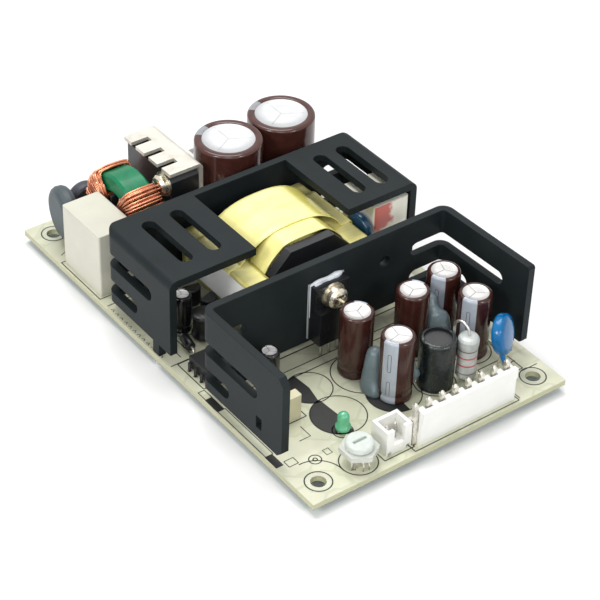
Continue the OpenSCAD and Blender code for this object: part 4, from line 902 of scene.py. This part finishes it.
# a smear over the rectifier's top that widens to the right, and a thin one down its left side
GREASE = []
for i in range(34):
    t = i / 33
    spread = 0.30 + 0.62 * t * min(1.0, (1.0 - t) / 0.22 + 0.25) + 0.10 * math.sin(9 * t)
    GREASE.append((31.0 + 8.8 * t, 43.25, 22.75 + 0.35 * t + 0.25 * math.sin(6 * t), spread))
    GREASE.append((32.0 + 7.6 * t, 42.75, 22.45 + 0.30 * t, 0.22 + 0.10 * math.sin(11 * t + 1)))
GREASE += trail(26, (30.75, 43.25, 22.6, 0.26), (0, 0, -9.5, -0.08))
blob("grease_at_rectifier", GREASE, mat_grease, seed=6, voxel=0.14, wobble=0.05)

# ---- printed legend on the board

INK_UP = 0.03
INK_WEIGHT = 1.5
mat_ink = plain("legend_ink", (0.012, 0.013, 0.012), 0.5, grain=0.1, tint=0.3, tint_size=2, edge=0)


def stroke(points, width, closed=False):
    """A flat line of ink along points (x, y) on the board."""
    verts, faces = [], []
    pts = [Vector((p[0], p[1], 0)) for p in points]
    n = len(pts)
    for i, p in enumerate(pts):
        a = pts[i - 1] if (i > 0 or closed) else p
        b = pts[(i + 1) % n] if (i < n - 1 or closed) else p
        d = (b - a).normalized()
        side = Vector((-d.y, d.x, 0)) * width * INK_WEIGHT / 2
        verts += [p + side, p - side]
    for i in range(n if closed else n - 1):
        j = (i + 1) % n
        faces.append((2 * i, 2 * i + 1, 2 * j + 1, 2 * j))
    return verts, faces


def circle(cx, cy, r, a0=0, a1=360, width=0.2, steps=48):
    """A printed circle, or an arc of it."""
    whole = abs(a1 - a0) >= 360
    return stroke(arc(cx, cy, r, a0, a1, steps, steps if whole else None), width, whole)


def outline(x0, y0, x1, y1, width=0.2):
    """A printed rectangle."""
    corners = ((x0, y0), (x1, y0), (x1, y1), (x0, y1))
    return join([stroke([corners[i], corners[(i + 1) % 4]], width) for i in range(4)])


def half_disc(cx, cy, r, a0, a1, steps=24):
    """A filled slice of a disc."""
    verts = [Vector((x, y, 0)) for x, y in [(cx, cy)] + arc(cx, cy, r, a0, a1, steps)]
    return verts, [(0, i + 1, i + 2) for i in range(steps)]


HOLES = [(x, y) for x in (HOLE_INSET, BOARD_W - HOLE_INSET)
         for y in (HOLE_INSET, BOARD_L - HOLE_INSET)]
# x, y and radius
CIRCLES = (
    (23.3, 21.2, 6.85), (23.5, 33.0, 5.7), (37.4, 30.3, 7.7), (38.9, 19.8, 6.8), (52.7, 31.1, 5.2),
    (63.9, 32.9, 5.2), (64.4, 21.7, 5.2), (49.6, 17.5, 5.2), (45.9, 99.0, 9.5), (64.1, 100.9, 9.5),
    (11.1, 69.2, 3.2), (16.0, 39.2, 3.2), (20.7, 16.2, 2.5), (31.0, 121.4, 4.8), (9.4, 11.9, 1.5),
    (9.4, 11.9, 0.5), (17.2, 5.7, 4.6),
)
# x, y, radius, first and last angle: the dark sides of the can marks
HALF_DISCS = ((23.3, 21.2, 6.8, 94, 266), (38.9, 19.8, 6.75, 150, 266), (23.5, 33.0, 5.65, 94, 258))
# two opposite corners, and a width where it is thinner than usual
OUTLINES = (
    (30.1, 0.8, 62.0, 8.8), (22.3, 2.3, 31.0, 9.7), (7.6, 25.2, 16.8, 29.4), (61.0, 9.3, 70.6, 14.9),
    (13.0, 90.9, 23.0, 117.0), (24.0, 93.6, 36.0, 117.0), (0.6, 90.6, 12.6, 109.3),
    (47.2, 114.2, 62.8, 124.6), (2.4, 47.0, 12.2, 58.2), (19.0, 45.6, 60.2, 45.8, 0.15),
    (3.0, 13.2, 5.6, 15.4, 0.15), (0.5, 19.0, 2.6, 38.3, 0.16), (0.5, 43.4, 2.3, 46.6, 0.16),
)
# a width, and the points of each line that has it; 1.4 makes the two dark patches at the left edge
LINES = (
    (1.4, ([(1.35, 38.3), (1.35, 43.4)], [(1.3, 14.5), (1.3, 19.0)])),
    (0.2, ([(5.0, 38.2), (71.5, 38.2)], [(5.0, 40.9), (71.5, 40.9)], [(0.6, 58.4), (13.5, 58.4)],
           [(62.5, 58.4), (75.4, 58.4)], [(0.6, 87.2), (13.5, 87.2)], [(62.5, 87.2), (75.4, 87.2)])),
    (0.18, ([(4.6, 60.0), (4.6, 86.0)], [(7.4, 60.0), (7.4, 86.0)], [(26.8, 11.4), (29.6, 11.4)],
            [(10.2, 19.0), (13.4, 19.0), (13.4, 23.0)], [(62.6, 1.2), (62.6, 7.2), (66.0, 7.2)],
            [(69.8, 8.6), (74.6, 8.6)], [(3.2, 109.6), (5.4, 111.2), (4.2, 113.0), (2.2, 112.0)])),
)
TICK_COUNT, TICK_FIRST, TICK_STEP = 12, 62.4, 2.0

legend = []
for hx, hy in HOLES:
    legend.append(circle(hx, hy, 3.25, width=0.22))
    inward = math.degrees(math.atan2(1 if hy < 60 else -1, 1 if hx < 40 else -1))
    legend.append(circle(hx, hy, 7.0, inward - 48, inward + 48, 0.2, 24))
legend += [circle(*ring) for ring in CIRCLES]
legend += [half_disc(*mark) for mark in HALF_DISCS]
legend += [outline(*box) for box in OUTLINES]
legend += [stroke(points, width) for width, group in LINES for points in group]
legend.append(stroke([(12.6, 11.6), (14.2, 11.6), (14.2, 13.4), (12.6, 13.4)], 0.18, True))
for i in range(TICK_COUNT):
    y = TICK_FIRST + i * TICK_STEP
    legend.append(stroke([(0.55, y), (1.25, y + 0.5), (0.6, y + 1.1)], 0.16))
v, f = join(legend)
make("printed_legend", v, f, mat_ink, origin=(0, 0, BOARD_T + INK_UP), smooth=False)

mat_tinned_ring = plain("tinned_ring", (0.52, 0.53, 0.42), 0.3, 0.35, grain=0.2, tint=0.1, edge=0)
v, f = join([circle(hx, hy, 2.45, width=0.67) for hx, hy in HOLES])
make("hole_rings", v, f, mat_tinned_ring, origin=(0, 0, BOARD_T + INK_UP * 0.6), smooth=False)

# ---- small parts on the board

mat_wire = plain("tinned_jumper", (0.62, 0.61, 0.56), 0.25, 0.9, tint=0.12, edge=0)
# both feet of each jumper, (x, y, x, y)
JUMPERS = ((27.5, 12.6, 35.0, 12.6), (6.4, 31.0, 6.4, 39.0), (18.5, 47.0, 18.5, 57.0),
           (70.2, 16.0, 70.2, 26.0), (44.6, 88.2, 54.2, 88.2), (66.2, 111.2, 72.2, 111.2))
paths = []
for x0, y0, x1, y1 in JUMPERS:
    dx, dy = (x1 - x0) * 0.08, (y1 - y0) * 0.08
    path = [(x0, y0, 0), (x0, y0, 0.55), (x0 + dx, y0 + dy, 0.8),
            (x1 - dx, y1 - dy, 0.8), (x1, y1, 0.55), (x1, y1, 0)]
    paths.append(smooth_path(path, 4))
wires("wire_jumpers", paths, 0.3, (0, 0, BOARD_T), mat_wire)

mat_moulding = plain("small_part_black", (0.010, 0.011, 0.012), 0.3, grain=0.2, tint=0.3, tint_size=2,
                     edge=0.2)


def small_diode(name, x, y, turn_deg, length=4.4, d=2.5):
    """A moulded body that lies on the board between two bent wires."""
    r = d / 2
    half = length / 2
    profile = [(0.32, -half), (r - 0.2, -half), (r, -half + 0.25), (r, half - 0.25), (r - 0.2, half),
               (0.32, half)]
    verts, faces, _ = lathe(profile, 20)
    spin = spun(turn_deg)
    lay = spin @ spun(90, "Y")
    verts = [lay @ Vector(p) + Vector((0, 0, r + 0.3)) for p in verts]
    make(name, verts, faces, mat_moulding, origin=(x, y, BOARD_T))
    paths = []
    for s in (-1, 1):
        path = [(s * (half - 0.3), 0, r + 0.3), (s * (half + 0.9), 0, r + 0.3),
                (s * (half + 1.5), 0, r - 0.2), (s * (half + 1.6), 0, 0)]
        paths.append([spin @ p for p in smooth_path(path, 4)])
    wires(name + "_wires", paths, 0.3, (x, y, BOARD_T), mat_wire)


def small_transistor(name, x, y, turn_deg, base=2.4, tall=4.8, r=2.3):
    """A round-backed, flat-fronted body on three wires, from base up."""
    section = arc(0, 0, r, -20, 200, 16)
    levels = ((base, 0.94), (base + 0.2, 1.0), (base + tall - 0.2, 1.0), (base + tall, 0.94))
    spin = spun(turn_deg)
    verts = [spin @ Vector((px * k, py * k, z)) for z, k in levels for px, py in section]
    make(name, verts, skin(len(levels), len(section)), mat_moulding, origin=(x, y, BOARD_T),
         smooth=False)
    paths = [[spin @ Vector((lx, 0.4, z)) for z in (0, base + 0.2)] for lx in (-1.27, 0, 1.27)]
    wires(name + "_wires", paths, 0.24, (x, y, BOARD_T), mat_wire, 6)


# Partly painted shade: these dark diodes and transistors, and the coil below, stand in part for dark parts
# beside the core and in part for the shade under the heatsink's tab, which they darken.
small_diode("diode_beside_core_1", 18.7, 60.6, 90)
small_diode("diode_beside_core_2", 8.2, 62.4, 80)
small_diode("diode_beside_core_3", 16.6, 79.8, 90)
small_diode("diode_behind_plate", 16.2, 53.6, 10)
small_transistor("signal_transistor_1", 18.5, 68.6, 200)
small_transistor("signal_transistor_2", 17.4, 74.2, 170)
small_transistor("signal_transistor_3", 10.6, 76.2, 100)
# the coil's foot, and half a section through its drum as (radius, height); the coil is a dark body set
# there partly as painted shade
COIL = (14.0, 63.8, BOARD_T)
drum = [(2.9, 0.4), (3.1, 0.6), (3.1, 1.3), (2.75, 1.6), (2.8, 3.6), (2.75, 6.0), (3.1, 6.3), (3.1, 7.0),
        (2.8, 7.3), (0.3, 7.2)]
v, f, _ = lathe(drum, 36)
make("dark_coil_for_shade", v, f, mat_moulding, origin=COIL)
wires("damping_coil_wires", [[Vector((x, 0, 0)), Vector((x, 0, 0.6))] for x in (-1.6, 1.6)], 0.3, COIL,
      mat_wire, 6)

# ---- stage, light and camera

FLOOR_HALF = 4.0
floor_mesh = bpy.data.meshes.new("floor")
corners = [(x * FLOOR_HALF, y * FLOOR_HALF, cad_box[0].z)
           for x, y in ((-1, -1), (1, -1), (1, 1), (-1, 1))]
floor_mesh.from_pydata(corners, [], [(0, 1, 2, 3)])
floor = new_object("floor", floor_mesh)
g = Graph("pale_floor")
g.finish(g.mix(g.noise(300, 2), (0.86, 0.86, 0.86), (0.90, 0.90, 0.90)), 0.7, 0.0)
floor_mesh.materials.append(g.material)

# The world lights the part dimly, and shows white to the camera and in gloss.
world = bpy.data.worlds.new("studio")
bpy.context.scene.world = world
world.use_nodes = True
tree = world.node_tree
tree.nodes.clear()


def background(colour, strength):
    node = tree.nodes.new("ShaderNodeBackground")
    node.inputs["Color"].default_value = (*colour, 1)
    node.inputs["Strength"].default_value = strength
    return node.outputs[0]


ray = tree.nodes.new("ShaderNodeLightPath")
seen = ray.outputs["Is Camera Ray"]
for kind in ("Is Glossy Ray", "Is Transmission Ray"):
    either = tree.nodes.new("ShaderNodeMath")
    either.operation = "MAXIMUM"
    tree.links.new(seen, either.inputs[0])
    tree.links.new(ray.outputs[kind], either.inputs[1])
    seen = either.outputs[0]
choose = tree.nodes.new("ShaderNodeMixShader")
out = tree.nodes.new("ShaderNodeOutputWorld")
tree.links.new(seen, choose.inputs[0])
tree.links.new(background((0.93, 0.95, 1.0), 0.37), choose.inputs[1])
tree.links.new(background((1, 1, 1), 1.0), choose.inputs[2])
tree.links.new(choose.outputs[0], out.inputs["Surface"])

# name, place, width, height, power and colour; all of them point at LIT
LIT = Vector((0, 0, 0.02))
LIGHTS = (
    ("overhead", (0.05, 0.25, 0.75), 0.55, 0.45, 5.2, (1, 0.99, 0.97)),
    ("key_left", (-0.62, -0.12, 0.42), 0.16, 0.16, 1.9, (1, 0.99, 0.97)),
    ("key_right", (0.10, -0.66, 0.42), 0.16, 0.16, 1.3, (1, 0.99, 0.98)),
    ("front_fill", (-0.42, -0.52, 0.50), 0.30, 0.30, 1.25, (1, 1, 1)),
)
for name, where, width, height, power, colour in LIGHTS:
    data = bpy.data.lights.new(name, "AREA")
    data.shape = "RECTANGLE"
    data.size, data.size_y = width, height
    data.energy = power
    data.color = colour
    lamp = new_object(name, data)
    lamp.location = where
    lamp.rotation_mode = "QUATERNION"
    lamp.rotation_quaternion = (LIT - Vector(where)).to_track_quat("-Z", "Y")

# The camera was solved from the board's corners and the hole rings in the photo.
azimuth, elevation, roll = map(math.radians, (-36.501, 37.912, 1.142))
back = Vector((math.sin(azimuth) * math.cos(elevation), -math.cos(azimuth) * math.cos(elevation),
               math.sin(elevation)))
right = Vector((math.cos(azimuth), math.sin(azimuth), 0))
up = back.cross(right)
right_rolled = right * math.cos(roll) + up * math.sin(roll)
up_rolled = up * math.cos(roll) - right * math.sin(roll)
aim, distance = place(29.379, 59.801, 10.0), 0.500515
camera_data = bpy.data.cameras.new("camera")
camera_data.sensor_width = 36
camera_data.lens = 121.55
camera_data.shift_x = 0.0594
camera_data.shift_y = -0.0082
camera_data.clip_start, camera_data.clip_end = 0.01, 10
camera = new_object("camera", camera_data)
spin = Matrix((right_rolled, up_rolled, back)).transposed().to_4x4()
camera.matrix_world = Matrix.Translation(aim + back * distance) @ spin
bpy.context.scene.camera = camera
bpy.context.scene.view_settings.view_transform = "Standard"
